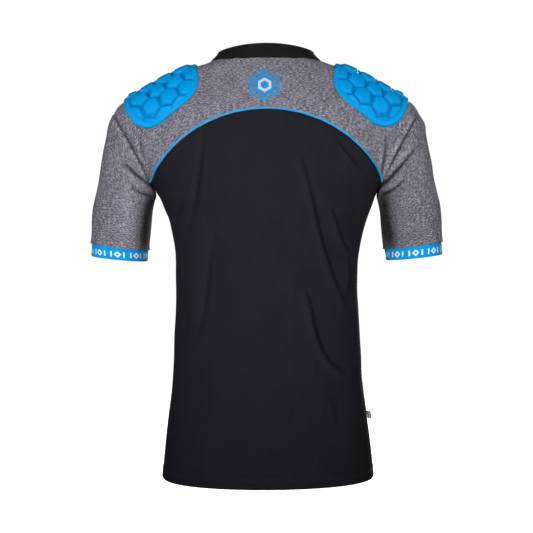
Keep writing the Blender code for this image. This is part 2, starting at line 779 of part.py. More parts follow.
def main():
    for leftover in list(bpy.data.objects):
        bpy.data.objects.remove(leftover)
    black = material("black_jersey", (0.012, 0.012, 0.014), 0.75)
    marl = material("grey_marl", (0.16, 0.155, 0.165), 0.85)
    collar_black = material("black_rib", (0.010, 0.010, 0.012), 0.80)
    blue_foam = material("blue_foam", (0.0, 0.33, 0.80), 0.55)
    blue_elastic = material("blue_elastic", (0.0, 0.30, 0.76), 0.70)
    blue_cord = material("blue_cord", (0.01, 0.34, 0.78), 0.60)
    grey_tape = material("grey_tape", (0.25, 0.26, 0.26), 0.70)

    wall("back_panel", body_grid(1, LOWER_BACK_ROWS), JERSEY_WALL, black)
    wall("front_panel", body_grid(-1, LOWER_FRONT_ROWS), JERSEY_WALL, black)
    wall("yoke_back", yoke_grid(1), JERSEY_WALL, marl)
    wall("yoke_front", yoke_grid(-1), JERSEY_WALL, marl)
    wall("collar", collar_grid(), COLLAR_WALL, collar_black, closed=True, free=True)
    flare = np.zeros(SLEEVE_ROWS + 1)
    flare[-1] = SLEEVE_END_FLARE
    cuff_lift = np.full(CUFF_ROWS + 1, -CUFF_DRAW_IN)
    for name, side in (("left", 1), ("right", -1)):
        sleeve = sleeve_grid(side, 0, 1, SLEEVE_ROWS)
        wall(f"sleeve_{name}", sleeve, JERSEY_WALL, marl, closed=True, lift=flare)
        cuff = sleeve_grid(side, 1, 2, CUFF_ROWS)
        wall(f"cuff_{name}", cuff, CUFF_WALL, blue_elastic, closed=True, lift=cuff_lift)
        make_pad(f"pad_{name}", side, blue_foam)
    make_piping(blue_cord)
    make_label(grey_tape)


main()
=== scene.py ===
# %% [markdown]
# # A padded rugby top, piece by piece
# The top is sewn from black jersey and grey marl, with blue foam pads on the shoulders. It is shown
# filled out as if worn, but empty: every piece is a thin cloth wall, open at neck, cuffs and hem.
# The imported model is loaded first. It gives the frame in metres, and each piece below takes the
# place of one of its nodes.

# %% Load the frame
import math
from collections import namedtuple
from functools import lru_cache

import bmesh
import bpy
import numpy as np
from mathutils import Matrix, Vector


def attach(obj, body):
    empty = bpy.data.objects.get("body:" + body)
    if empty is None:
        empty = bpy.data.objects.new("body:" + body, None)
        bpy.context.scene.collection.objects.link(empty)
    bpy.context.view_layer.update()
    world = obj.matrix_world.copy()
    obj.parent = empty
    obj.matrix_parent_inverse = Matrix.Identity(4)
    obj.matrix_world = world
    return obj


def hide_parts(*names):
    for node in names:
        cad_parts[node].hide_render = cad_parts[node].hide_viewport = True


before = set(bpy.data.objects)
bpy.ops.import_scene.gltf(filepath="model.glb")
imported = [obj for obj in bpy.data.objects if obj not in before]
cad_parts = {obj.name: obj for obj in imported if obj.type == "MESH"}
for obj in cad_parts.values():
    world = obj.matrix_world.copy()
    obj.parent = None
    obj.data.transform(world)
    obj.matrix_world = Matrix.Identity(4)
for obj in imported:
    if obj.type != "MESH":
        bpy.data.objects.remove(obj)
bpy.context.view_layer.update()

# %% [markdown]
# ## The figure under the cloth
# A worn garment takes its shape from a body, so the cloth is laid on an unseen figure. The trunk is
# a table of oval sections from the hem to the neck, and each sleeve is a table of level ovals.
# A table is easy to correct against a picture: one row moves one height, and nothing else.

# %% Sections of trunk and sleeves
Section = namedtuple("Section", "height half_width back front squareness rounding")
TRUNK = (
    Section(-0.670, 0.1645, 0.1130, 0.1080, 2.55, 0.002),
    Section(-0.626, 0.1620, 0.1125, 0.1075, 2.50, 0.002),
    Section(-0.561, 0.1550, 0.1090, 0.1060, 2.40, 0.002),
    Section(-0.496, 0.1468, 0.1040, 0.1045, 2.35, 0.002),
    Section(-0.420, 0.1432, 0.0995, 0.1035, 2.30, 0.002),
    Section(-0.345, 0.1400, 0.0995, 0.1055, 2.30, 0.002),
    Section(-0.282, 0.1440, 0.1050, 0.1140, 2.30, 0.002),
    Section(-0.245, 0.1530, 0.1090, 0.1190, 2.30, 0.002),
    Section(-0.205, 0.1680, 0.1120, 0.1210, 2.30, 0.002),
    Section(-0.150, 0.1900, 0.1100, 0.1120, 2.20, 0.002),
    Section(-0.100, 0.2130, 0.0985, 0.0890, 2.00, 0.002),
    Section(-0.070, 0.2170, 0.0880, 0.0700, 1.75, 0.010),
    Section(-0.053, 0.1945, 0.0810, 0.0610, 1.55, 0.014),
    Section(-0.029, 0.1530, 0.0700, 0.0550, 1.50, 0.014),
    Section(-0.010, 0.1130, 0.0620, 0.0520, 1.75, 0.006),
    Section(0.000, 0.0840, 0.0575, 0.0505, 2.00, 0.002),
    Section(0.012, 0.0765, 0.0540, 0.0490, 2.00, 0.002),
    Section(0.030, 0.0720, 0.0510, 0.0480, 2.00, 0.002),
)
ArmSection = namedtuple("ArmSection", "height centre_x half_width centre_y half_depth")
ARM = (
    ArmSection(-0.345, 0.2335, 0.0440, -0.0160, 0.0500),
    ArmSection(-0.300, 0.2295, 0.0452, -0.0130, 0.0515),
    ArmSection(-0.264, 0.2260, 0.0465, -0.0100, 0.0530),
    ArmSection(-0.226, 0.2230, 0.0472, -0.0070, 0.0540),
    ArmSection(-0.189, 0.2140, 0.0475, -0.0040, 0.0550),
    ArmSection(-0.150, 0.2070, 0.0478, -0.0020, 0.0560),
    ArmSection(-0.112, 0.2020, 0.0450, 0.0000, 0.0560),
)
ARM_CAP_RISE = 0.0460
Blend = namedtuple("Blend", "height width")
BLENDS = (Blend(-0.240, 0.008), Blend(-0.205, 0.010), Blend(-0.150, 0.026), Blend(-0.080, 0.026))


@lru_cache(maxsize=None)
def curve_through(table, name):
    heights = np.array([row.height for row in table])
    values = np.array([getattr(row, name) for row in table])
    return heights, values, np.gradient(values, heights)


def column(table, name, height):
    """Smooth value of one column of a table at any height."""
    heights, values, slopes = curve_through(table, name)
    at = np.clip(height, heights[0], heights[-1])
    low = np.clip(np.searchsorted(heights, at) - 1, 0, len(heights) - 2)
    span = heights[low + 1] - heights[low]
    t = (at - heights[low]) / span
    rise = (3 - 2 * t) * t * t
    ends = values[low] * (1 - rise) + values[low + 1] * rise
    return ends + span * (slopes[low] * t * (1 - t) ** 2 - slopes[low + 1] * t * t * (1 - t))


print("sections:", len(TRUNK), "of the trunk,", len(ARM), "of a sleeve")

# %% [markdown]
# The two forms run together softly on the shoulder and sharply in the underarm. Written as a signed
# distance, with negative values inside, that is a smooth minimum whose width changes with height.

# %% Distance to the figure
PROBE = 0.0004
FIRST_STEP, MARCH_STEPS, HALVINGS = 0.04, 32, 14


def rounded(y, rounding):
    return np.hypot(y, rounding) - rounding


def trunk_level(points):
    x, y, z = np.moveaxis(points, -1, 0)
    depth = np.where(y > 0, column(TRUNK, "back", z), column(TRUNK, "front", z))
    power = column(TRUNK, "squareness", z)
    across = np.abs(x / column(TRUNK, "half_width", z)) ** power
    rounding = column(TRUNK, "rounding", z)
    along = (rounded(y, rounding) / rounded(depth, rounding)) ** power
    return (across + along) ** (1 / power) - 1


def arm_level(points):
    x, y, z = np.moveaxis(points, -1, 0)
    across = (np.abs(x) - column(ARM, "centre_x", z)) / column(ARM, "half_width", z)
    along = (y - column(ARM, "centre_y", z)) / column(ARM, "half_depth", z)
    above = np.maximum(z - ARM[-1].height, 0) / ARM_CAP_RISE
    return np.sqrt(across**2 + along**2 + above**2) - 1


def distance(level, points):
    here = level(points)
    ahead = np.stack([level(points + step) - here for step in np.eye(3) * PROBE], -1)
    return here / np.maximum(np.linalg.norm(ahead, axis=-1) / PROBE, 1.0)


def figure(points):
    """Signed distance to the cloth, negative inside."""
    trunk = distance(trunk_level, points)
    arm = distance(arm_level, points)
    width = column(BLENDS, "width", points[..., 2])
    share = np.clip(0.5 + 0.5 * (arm - trunk) / width, 0, 1)
    return arm * (1 - share) + trunk * share - width * share * (1 - share)


def unit(vectors):
    return vectors / np.linalg.norm(vectors, axis=-1, keepdims=True)


def outward(points):
    """Unit normals of the figure."""
    steps = np.eye(3) * PROBE
    steep = np.stack([figure(points + step) - figure(points - step) for step in steps], -1)
    return unit(steep)


def first_exit(path, count, reach, level=figure):
    """Point of each path where it first comes out of the figure."""
    near = np.full(count, FIRST_STEP * reach)
    far = near.copy()
    inside = np.ones(count, bool)
    for step in np.linspace(FIRST_STEP, 1, MARCH_STEPS)[1:] * reach:
        near = np.where(inside, far, near)
        far = np.where(inside, step, far)
        inside &= level(path(far)) < 0
        if not inside.any():
            break
    for _ in range(HALVINGS):
        middle = (near + far) / 2
        is_out = level(path(middle)) > 0
        far = np.where(is_out, middle, far)
        near = np.where(is_out, near, middle)
    return path((near + far) / 2)


print("the origin lies", round(float(-figure(np.zeros((1, 3)))[0]), 4), "m inside the cloth")

# %% [markdown]
# ## Folds and creases
# Jersey that hangs from the shoulders shows long creases that run down from the underarms, and a
# few that wrap the waist. Each one is a line of points as seen from behind or in front, with a
# depth and a width. Across its line the cloth rises to a low ridge, drops steeply and runs out
# flat. The drop is darkened with painted shade in the cloth's colour, and the ridge gets a faint
# painted highlight. A cloth simulation would make folds of its own; drawn lines put them where
# this top has them.

# %% The lines of the creases
Crease = namedtuple("Crease", "line depth width side")
BACK, FRONT, ALL_ROUND = 1, -1, 0


def both_sides(crease):
    """A crease of the left half, and its mirror image on the right half."""
    return crease, crease._replace(line=tuple((-x, z) for x, z in crease.line))


# Each crease moves the cloth and also paints shade along its drop and a highlight on its ridge.
CREASES = (
    Crease(((-0.0518, -0.1594), (-0.0637, -0.1993), (-0.0726, -0.2408), (-0.0814, -0.2778),
            (-0.0933, -0.3148), (-0.1036, -0.3444), (-0.1170, -0.3740)), 0.0026, 0.0080, BACK),
    Crease(((-0.0948, -0.2304), (-0.1066, -0.2585), (-0.1140, -0.2807), (-0.1244, -0.2985)),
           0.0022, 0.0070, BACK),
    Crease(((-0.0563, -0.3518), (-0.0652, -0.3769), (-0.0696, -0.4036), (-0.0770, -0.4287),
            (-0.0859, -0.4509), (-0.0992, -0.4657), (-0.1140, -0.4761)), 0.0026, 0.0080, BACK),
    Crease(((-0.1036, -0.1298), (-0.1229, -0.1549), (-0.1421, -0.1742)), 0.0016, 0.0060, BACK),
    Crease(((-0.1244, -0.3044), (-0.1258, -0.3370), (-0.1214, -0.3666)), 0.0016, 0.0065, BACK),
    Crease(((-0.0948, -0.5116), (-0.0992, -0.5323), (-0.1036, -0.5560)), 0.0010, 0.0085, BACK),
    Crease(((0.0902, -0.1150), (0.0947, -0.1594), (0.0991, -0.1919), (0.1050, -0.2289),
            (0.1154, -0.2659)), 0.0022, 0.0080, BACK),
    Crease(((0.0754, -0.2704), (0.0828, -0.3074), (0.0858, -0.3444), (0.0932, -0.3917),
            (0.1050, -0.4287)), 0.0018, 0.0080, BACK),
    Crease(((0.1346, -0.3103), (0.1287, -0.3518), (0.1213, -0.3917), (0.1139, -0.4139)),
           0.0012, 0.0065, BACK),
    Crease(((0.1258, -0.2186), (0.1346, -0.2467)), 0.0014, 0.0060, BACK),
    *both_sides(Crease(((0.2340, -0.0830), (0.2261, -0.0950), (0.2113, -0.1200), (0.1976, -0.1450),
                        (0.1853, -0.1700), (0.1740, -0.1980)), 0.0022, 0.0052, BACK)),
    Crease(((0.1905, -0.1180), (0.1880, -0.1400), (0.1845, -0.1560)), 0.0016, 0.0058, BACK),
    Crease(((-0.1807, -0.1251), (-0.1776, -0.1537), (-0.1731, -0.1823)), 0.0020, 0.0058, BACK),
    Crease(((0.2150, -0.1600), (0.1990, -0.1763), (0.1850, -0.1870), (0.1700, -0.2010)),
           0.0026, 0.0072, BACK),
    Crease(((0.2060, -0.1930), (0.1940, -0.2045), (0.1790, -0.2080)), 0.0020, 0.0062, BACK),
    Crease(((-0.2258, -0.1387), (-0.2032, -0.1657), (-0.1850, -0.1850), (-0.1710, -0.2000)),
           0.0026, 0.0072, BACK),
    Crease(((-0.2092, -0.1860), (-0.1932, -0.2000), (-0.1770, -0.2080)), 0.0020, 0.0062, BACK),
    # These two broad creases mostly paint shade along the inner side of each sleeve.
    Crease(((0.1730, -0.1980), (0.1790, -0.2160), (0.1850, -0.2480), (0.1890, -0.2800),
            (0.1900, -0.3000)), 0.0027, 0.0270, ALL_ROUND),
    Crease(((-0.1730, -0.1980), (-0.1780, -0.2160), (-0.1800, -0.2480), (-0.1870, -0.2800),
            (-0.1900, -0.3000)), 0.0027, 0.0270, ALL_ROUND),
    Crease(((0.1650, -0.1400), (0.1420, -0.1800), (0.1000, -0.2300)), 0.0022, 0.0080, FRONT),
    Crease(((-0.1650, -0.1400), (-0.1450, -0.1850), (-0.1100, -0.2500)), 0.0022, 0.0080, FRONT),
    Crease(((0.0900, -0.3000), (0.0980, -0.3600), (0.1200, -0.4200)), 0.0022, 0.0080, FRONT),
    Crease(((-0.0800, -0.3300), (-0.0840, -0.3900), (-0.0760, -0.4400)), 0.0016, 0.0080, FRONT),
    *both_sides(Crease(((0.2100, -0.1600), (0.1900, -0.1800), (0.1740, -0.1950)),
                       0.0022, 0.0060, FRONT)),
)
print(len(CREASES), "creases")

# %% What the creases do to the cloth
CREASE_STEPS, CREASE_END = 17, 0.02
FACING_FADE, DEEP_CREASE = 0.016, 0.0024
DROP_WIDTH, DROP_REACH = 0.4, 1.9
# The ridge and shade numbers place the painted highlight and the painted shade across a crease.
RIDGE_LIGHT, RIDGE_PLACE, RIDGE_WIDTH = 0.4, -0.95, 0.6
SHADE_PLACE, SHADE_WIDTH = 0.05, 0.38


def read_off(at, places, rows):
    """Rows of numbers, read off at any place between the places they belong to."""
    return np.stack([np.interp(at, places, rows[:, k]) for k in range(rows.shape[1])], -1)


def hump(value, middle, width):
    return np.exp(-(((value - middle) / width) ** 2))


def crease_line(crease):
    """The crease's corner points, rounded into a smooth line of short steps."""
    line = np.array(crease.line)
    smooth = read_off(np.linspace(0, len(line) - 1, CREASE_STEPS), np.arange(len(line)), line)
    smooth[1:-1] = (smooth[:-2] + 2 * smooth[1:-1] + smooth[2:]) / 4
    return smooth


def crease_fold(points):
    """How far the creases move the cloth out, and the painted shade and highlight, at each point.
    """
    x, y, z = np.moveaxis(points, -1, 0)
    push, painted_shading = np.zeros(x.shape), np.zeros(x.shape)
    for crease in CREASES:
        line = crease_line(crease)
        nearest = np.ones(x.shape)
        aside, place = np.zeros(x.shape), np.zeros(x.shape)
        for k, (start, end) in enumerate(zip(line, line[1:])):
            run = end - start
            t = np.clip(((x - start[0]) * run[0] + (z - start[1]) * run[1]) / (run @ run), 0, 1)
            dx, dz = x - start[0] - t * run[0], z - start[1] - t * run[1]
            away = np.hypot(dx, dz)
            closer = away < nearest
            nearest = np.where(closer, away, nearest)
            aside = np.where(closer, np.sign(dx * run[1] - dz * run[0]) * away, aside)
            place = np.where(closer, (k + t) / (len(line) - 1), place)
        across = aside / crease.width
        facing = np.clip(crease.side * y / FACING_FADE + (crease.side == ALL_ROUND), 0, 1)
        inside = CREASE_END + (1 - 2 * CREASE_END) * place
        strength = facing * np.sqrt(np.sin(math.pi * inside))
        drop = -np.tanh(across / DROP_WIDTH) * hump(across, 0, DROP_REACH)
        push += crease.depth * strength * drop
        painted_ridge_highlight = RIDGE_LIGHT * hump(across, RIDGE_PLACE, RIDGE_WIDTH)
        painted_crease_shade = hump(across, SHADE_PLACE, SHADE_WIDTH)
        painted_shading += strength * crease.depth / DEEP_CREASE * (painted_ridge_highlight - painted_crease_shade)
    return push, np.clip(painted_shading, -1, 1)


WRINKLES = np.random.default_rng(11).uniform(0, 1, (14, 4))
WRINKLE_HEIGHT, WRINKLE_SLANT, SIDE_FADE = 0.00009, 0.05, 0.04


def wrinkle_push(points):
    """Low, mostly upright unevenness of jersey that has been worn and hung."""
    x, y, z = np.moveaxis(points, -1, 0)
    total = np.zeros(x.shape)
    behind = 0.5 + 0.5 * np.tanh(y / SIDE_FADE)
    for a, b, c, d in WRINKLES:
        width, length = 0.014 + 0.030 * a, 0.07 + 0.12 * b
        waves = (x / width + (c - 0.5) * z / WRINKLE_SLANT + z / length + 3 * c + behind * d)
        total += WRINKLE_HEIGHT * (0.5 + d) * np.sin(2 * math.pi * waves)
    return total


print(len(WRINKLES), "soft waves")

# %% [markdown]
# ## Seam lines and grids
# A pattern cutter draws each piece between its seams. Here a piece is a grid of rows and columns,
# and every grid point is found by following a straight path from inside the figure to the cloth.
# Neighbouring pieces end on the same seam lines, so they meet as sewn cloth does.

# %% Paths from the middle to the cloth
HEM_SIDE_HEIGHT, HEM_CORNER_RISE = -0.6415, 0.0085
HEM_BACK_DROP, HEM_FRONT_DROP = 0.0030, 0.0010
YOKE_SEAM_RADIUS, YOKE_SEAM_TOP = 0.2030, -0.0830
UNDERARM_X, UNDERARM_HEIGHT = 0.1725, -0.2050
SHOULDER_TIP_X, SHOULDER_TIP_HEIGHT = 0.2360, -0.0790
ARMHOLE_BEND, ARMHOLE_CENTRE_HEIGHT = 1.25, -0.1500
NECK_HALF_WIDTH, NECK_BACK, NECK_FRONT = 0.0845, 0.0570, 0.0670
CUFF_CENTRE = np.array([0.2290, -0.0130, -0.2880])
CUFF_OUTWARD_TILT, CUFF_FORWARD_TILT = math.radians(6.0), math.radians(3.0)
CUFF_HEIGHT = 0.0180
TRUNK_REACH, SHOULDER_REACH, SLEEVE_REACH = 0.34, 0.24, 0.17
NECK_START, NECK_REACH = 0.125, 0.16


def armhole_x(height):
    rise = (height - UNDERARM_HEIGHT) / (SHOULDER_TIP_HEIGHT - UNDERARM_HEIGHT)
    return UNDERARM_X + (SHOULDER_TIP_X - UNDERARM_X) * np.maximum(rise, 0) ** ARMHOLE_BEND


def body_side(points):
    return np.maximum(figure(points), np.abs(points[..., 0]) - armhole_x(points[..., 2]))


def on_grid(find, first, second):
    """The found points of two grids of numbers, in rows and columns again."""
    return find(first.ravel(), second.ravel()).reshape(*first.shape, 3)


def level_point(turn, height):
    """On a level line from the trunk's middle. turn 0 is straight back."""

    def path(r):
        return np.stack([r * np.sin(turn), r * np.cos(turn), height + 0 * r], -1)

    return first_exit(path, len(turn), TRUNK_REACH, body_side)


def shoulder_point(share, turn):
    """In a slanting shoulder section. share is 0 in the middle and 1 in the armhole seam."""

    def path(r):
        z = ARMHOLE_CENTRE_HEIGHT + r * np.cos(turn)
        return np.stack([share * armhole_x(z), r * np.sin(turn), z], -1)

    return first_exit(path, len(turn), SHOULDER_REACH)


def sleeve_point(along, turn):
    """On a ring of the left sleeve: along is 0 in the armhole, 1 at the cuff seam, 2 at its end."""
    out, front = CUFF_OUTWARD_TILT, CUFF_FORWARD_TILT
    up_side = np.array([math.cos(out), 0, math.sin(out)])
    back_side = np.array([0, math.cos(front), -math.sin(front)])
    down = np.cross(back_side, up_side)

    def path(r):
        z = ARMHOLE_CENTRE_HEIGHT + r * np.cos(turn)
        hole = np.stack([armhole_x(z), r * np.sin(turn), z], -1)
        spoke = np.cos(turn)[:, None] * up_side + np.sin(turn)[:, None] * back_side
        past = np.maximum(along - 1, 0)[:, None] * CUFF_HEIGHT * down
        share = np.minimum(along, 1)[:, None]
        return hole * (1 - share) + (CUFF_CENTRE + r[:, None] * spoke) * share + past

    return first_exit(path, len(turn), SLEEVE_REACH)


def neck_point(turn):
    """On the neck seam, an oval in plan. turn 0 is the back."""
    x = NECK_HALF_WIDTH * np.sin(turn)
    y = np.where(np.cos(turn) > 0, NECK_BACK, NECK_FRONT) * np.cos(turn)

    def path(r):
        return np.stack([x, y, r - NECK_START], -1)

    return first_exit(path, len(turn), NECK_REACH)


print("shoulder seam at the armhole:", np.round(shoulder_point(np.ones(1), np.zeros(1))[0], 4))

# %% The arched yoke seam and the top edge of a yoke
NECK_COLUMNS, SHOULDER_COLUMNS = 44, 50
ACROSS = np.linspace(-1, 1, 2 * (NECK_COLUMNS + SHOULDER_COLUMNS) + 1)
ARC_TRIALS = np.linspace(0.8, 1.3, 2001)
LOWEST_TURN, HIGHEST_TURN, SEAM_HALVINGS = math.radians(4.0), math.radians(176.0), 16


def yoke_arc(turn):
    drop = YOKE_SEAM_RADIUS * (1 - np.cos(turn))
    return YOKE_SEAM_RADIUS * np.sin(turn), YOKE_SEAM_TOP - drop


@lru_cache(maxsize=None)
def yoke_seam(side):
    """The seam between a body panel and its yoke, found by halving the turn."""
    trial_x, trial_z = yoke_arc(ARC_TRIALS)
    end = ARC_TRIALS[np.argmax(trial_x > armhole_x(trial_z))]
    x, z = yoke_arc(ACROSS * end)
    share = x / armhole_x(z)
    low = np.full(len(x), LOWEST_TURN)
    high = np.full(len(x), HIGHEST_TURN)
    for _ in range(SEAM_HALVINGS):
        middle = (low + high) / 2
        above = shoulder_point(np.abs(share), side * middle)[:, 2] > z
        low = np.where(above, middle, low)
        high = np.where(above, high, middle)
    found = shoulder_point(np.abs(share), side * (low + high) / 2)
    found[:, 0] *= np.sign(share)
    return found


def neck_and_shoulder(side):
    """A yoke's top edge: shoulder seam, round the neck, shoulder seam."""
    turn = np.linspace(-math.pi / 2, math.pi / 2, 2 * NECK_COLUMNS + 1)
    if side < 0:
        turn = math.pi - turn
    neck = neck_point(turn)
    neck_share = neck[-1, 0] / armhole_x(neck[-1, 2])
    outer = np.linspace(neck_share, 1, SHOULDER_COLUMNS + 1)[1:]
    ridge = shoulder_point(outer, np.zeros(SHOULDER_COLUMNS))
    return np.concatenate([ridge[::-1] * [-1, 1, 1], neck, ridge])


print("yoke seam at the middle of the back:", np.round(yoke_seam(BACK)[len(ACROSS) // 2], 4))

# %% Grids of the body panels, yokes, sleeves and cuffs
UNDERARM_ROWS = 12
ARMHOLE_TURNS = np.radians(np.linspace(179.9, 60, 60))


@lru_cache(maxsize=None)
def underarm_height():
    return sleeve_point(np.zeros(1), np.full(1, math.pi))[0, 2]


@lru_cache(maxsize=None)
def armhole_turns(side):
    hole = shoulder_point(np.ones(len(ARMHOLE_TURNS)), side * ARMHOLE_TURNS)
    return hole[:, 2], np.arctan2(hole[:, 0], side * hole[:, 1])


def widest_turn(height, side):
    heights, turns = armhole_turns(side)
    return np.where(height > underarm_height(), np.interp(height, heights, turns), math.pi / 2)


def body_grid(side, lower_rows):
    """Rows of the front or back panel, from the hem to the yoke seam."""
    seam = yoke_seam(side)
    seam_turn = np.abs(np.arctan2(seam[:, 0], side * seam[:, 1]))
    seam_share = seam_turn / widest_turn(seam[:, 2], side)
    seam_share[[0, -1]] = 1
    drop = HEM_BACK_DROP if side > 0 else HEM_FRONT_DROP
    hem = HEM_SIDE_HEIGHT - drop * np.cos(ACROSS * math.pi / 2) ** 2
    hem = hem + HEM_CORNER_RISE * ACROSS**6
    corner = (underarm_height() - hem[0]) / (seam[0, 2] - hem[0])
    lower = np.linspace(0, corner, lower_rows + 1)
    upper = np.linspace(corner, 1, UNDERARM_ROWS + 1)[1:-1]
    share = np.concatenate([lower, upper])[:, None]
    height = hem + (seam[:, 2] - hem) * share
    spread = np.abs(ACROSS) * (1 - share) + seam_share * share
    turn = np.sign(ACROSS) * spread * widest_turn(height, side)
    if side < 0:
        turn = math.pi - turn
    return np.concatenate([on_grid(level_point, turn, height), seam[None]])


def yoke_grid(side, rows):
    """Rows of the front or back yoke, from its arched seam to neck and shoulder."""
    ends = []
    for line in (yoke_seam(side), neck_and_shoulder(side)):
        turn = np.arctan2(line[:, 1], line[:, 2] - ARMHOLE_CENTRE_HEIGHT)
        ends.append((line, line[:, 0] / armhole_x(line[:, 2]), turn))
    (seam, seam_share, seam_turn), (top, top_share, top_turn) = ends
    rise = np.linspace(0, 1, rows + 1)[1:-1, None]
    share = seam_share + (top_share - seam_share) * rise
    turn = seam_turn + (top_turn - seam_turn) * rise
    share[:, [0, -1]] = -1, 1
    found = on_grid(shoulder_point, np.abs(share), turn)
    found[..., 0] *= np.sign(share)
    return np.concatenate([seam[None], found, top[None]])


def sleeve_grid(side, start, end, rows, around):
    """Rings of a sleeve or cuff. The first and last column are the same line, under the arm."""
    along, turn = np.meshgrid(np.linspace(start, end, rows + 1),
                              np.linspace(math.pi, -math.pi, around + 1), indexing="ij")
    return on_grid(sleeve_point, along, turn) * np.array([side, 1, 1])


print("underarm at", round(float(underarm_height()), 4), "m")

# %% [markdown]
# ## Sewing a piece
# Each piece starts as a flat bmesh grid. Its face region is extruded to give the cloth its
# thickness, and then the outer and inner vertices are moved to their places. A UV map in metres
# goes along, so that knit and marl keep their true size on every piece.

# %% A cloth wall from a grid
SEAM_GAP, SEAM_ROLL, WELD = 0.00004, 0.0007, 0.00002
SHARP_EDGE = math.radians(55)


def finished(name, built):
    """Turns a bmesh into a smooth object of the scene."""
    mesh = bpy.data.meshes.new(name)
    built.to_mesh(mesh)
    built.free()
    mesh.shade_smooth()
    made = bpy.data.objects.new(name, mesh)
    bpy.context.scene.collection.objects.link(made)
    print(name, "has", len(mesh.polygons), "faces")
    return made


def step_lengths(points, axis=0):
    """Distances between the neighbouring points of a line or grid."""
    return np.linalg.norm(np.diff(points, axis=axis), axis=-1)


def lengths_from(steps):
    """Running length at the end of each step, from 0."""
    return np.concatenate([[0], np.cumsum(steps)])


def square_step(edge, inner, closed):
    """Half a seam gap, square to an edge and towards the next line of points."""
    run = np.gradient(edge, axis=0)
    if closed:
        run[[0, -1]] = edge[1] - edge[-2]
    run = unit(run)
    inwards = inner - edge
    inwards -= run * np.sum(inwards * run, axis=-1, keepdims=True)
    return SEAM_GAP / 2 * unit(inwards)


def draw_back(points, closed):
    pulled = points.copy()
    for edge, inner in ((0, 1), (-1, -2)):
        pulled[edge] += square_step(points[edge], points[inner], closed)
        if not closed:
            pulled[:, edge] += square_step(points[:, edge], points[:, inner], False)
    return pulled


def flat_lengths(points):
    """Metres along the rows and columns of a grid, measured from its middle column."""
    u = np.concatenate([np.zeros((len(points), 1)), np.cumsum(step_lengths(points, 1), axis=1)], 1)
    u = u - u[:, points.shape[1] // 2, None]
    rises = step_lengths(points).mean(axis=1)
    return np.stack([u, np.repeat(lengths_from(rises)[:, None], points.shape[1], 1)], -1)


def wall_mesh(name, outer, inner, flat, closed, relief):
    """A closed wall between two grids of points, as a smooth object with its own UV map."""
    rows, across = outer.shape[0] - 1, outer.shape[1] - 1
    built = bmesh.new()
    bmesh.ops.create_grid(built, x_segments=across, y_segments=rows, size=1)
    row_of = built.verts.layers.int.new("row")
    column_of = built.verts.layers.int.new("column")
    # Painted shade and highlight, point by point: of the creases on cloth, of the grooves on the
    # pads.
    painted_shading_of = built.verts.layers.float.new("relief")
    right_side = built.verts.layers.float.new("right_side")
    for vert in built.verts:
        vert[row_of] = round((vert.co.y + 1) / 2 * rows)
        vert[column_of] = round((vert.co.x + 1) / 2 * across)
        vert[painted_shading_of] = relief[vert[row_of], vert[column_of]]
    outside = list(built.verts)
    copied = bmesh.ops.extrude_face_region(built, geom=built.faces[:], use_keep_orig=True)
    within = [item for item in copied["geom"] if isinstance(item, bmesh.types.BMVert)]
    for verts, place, is_outer in ((outside, outer, 1.0), (within, inner, 0.0)):
        for vert in verts:
            vert.co = place[vert[row_of], vert[column_of]]
            vert[right_side] = is_outer
    cloth = built.loops.layers.uv.new("cloth")
    for face in built.faces:
        for loop in face.loops:
            loop[cloth].uv = flat[loop.vert[row_of], loop.vert[column_of]]
    if closed:
        join_tube(built, outside + within, column_of, across)
    bmesh.ops.recalc_face_normals(built, faces=built.faces)
    made = finished(name, built)
    made.data.set_sharp_from_angle(angle=SHARP_EDGE)
    return made


def join_tube(built, verts, column_of, across):
    """Joins the first and last column of a ring and drops the walls between them."""
    ends = {0, across}
    walls = [f for f in built.faces if len({v[column_of] for v in f.verts}) == 1
             and f.verts[0][column_of] in ends]
    bmesh.ops.delete(built, geom=walls, context="FACES_ONLY")
    edge_verts = [v for v in verts if v.is_valid and v[column_of] in ends]
    bmesh.ops.remove_doubles(built, verts=edge_verts, dist=WELD)


# %% Sewing a sheet of cloth
JERSEY_WALL = 0.0015
Sewn = namedtuple("Sewn", "piece outer normals")
Rolled = namedtuple("Rolled", "bottom top sides")


def sew(name, points, thickness, rolled, closed=False, lift=0.0, normals=None):
    """A piece of cloth on the figure: folds, rolled seam edges, lift and thickness."""
    points = draw_back(points, closed)
    push = np.zeros(points.shape[:2]) + lift
    painted_shading = np.zeros(points.shape[:2])
    if normals is None:
        normals = outward(points)
        # The creases also give the painted shade and highlight for the cloth's colour.
        creased, painted_shading = crease_fold(points)
        push = push + creased + wrinkle_push(points)
    for line, is_rolled in ((push[0], rolled.bottom), (push[-1], rolled.top),
                            (push[1:-1, 0], rolled.sides), (push[1:-1, -1], rolled.sides)):
        if is_rolled:
            line -= SEAM_ROLL
    outer = points + normals * push[..., None]
    inner = outer - normals * thickness
    piece = wall_mesh(name, outer, inner, flat_lengths(outer), closed, painted_shading)
    return Sewn(piece, outer, normals)


def cut_size(outer):
    """Width, length and area of the cloth that a grid was cut from."""
    flat = flat_lengths(outer)
    width = float(np.ptp(flat[..., 0]))
    length = float(step_lengths(outer).sum(axis=0).max())
    a, b = np.diff(outer, axis=0)[:, :-1], np.diff(outer, axis=1)[:-1]
    area = float(np.linalg.norm(np.cross(a, b), axis=-1).sum())
    return width, length, area


def dress(piece, node, finish):
    """Gives a piece its finish and puts it in its node's place."""
    piece.data.materials.append(finish)
    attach(piece, "root")
    if node:
        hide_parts(node)


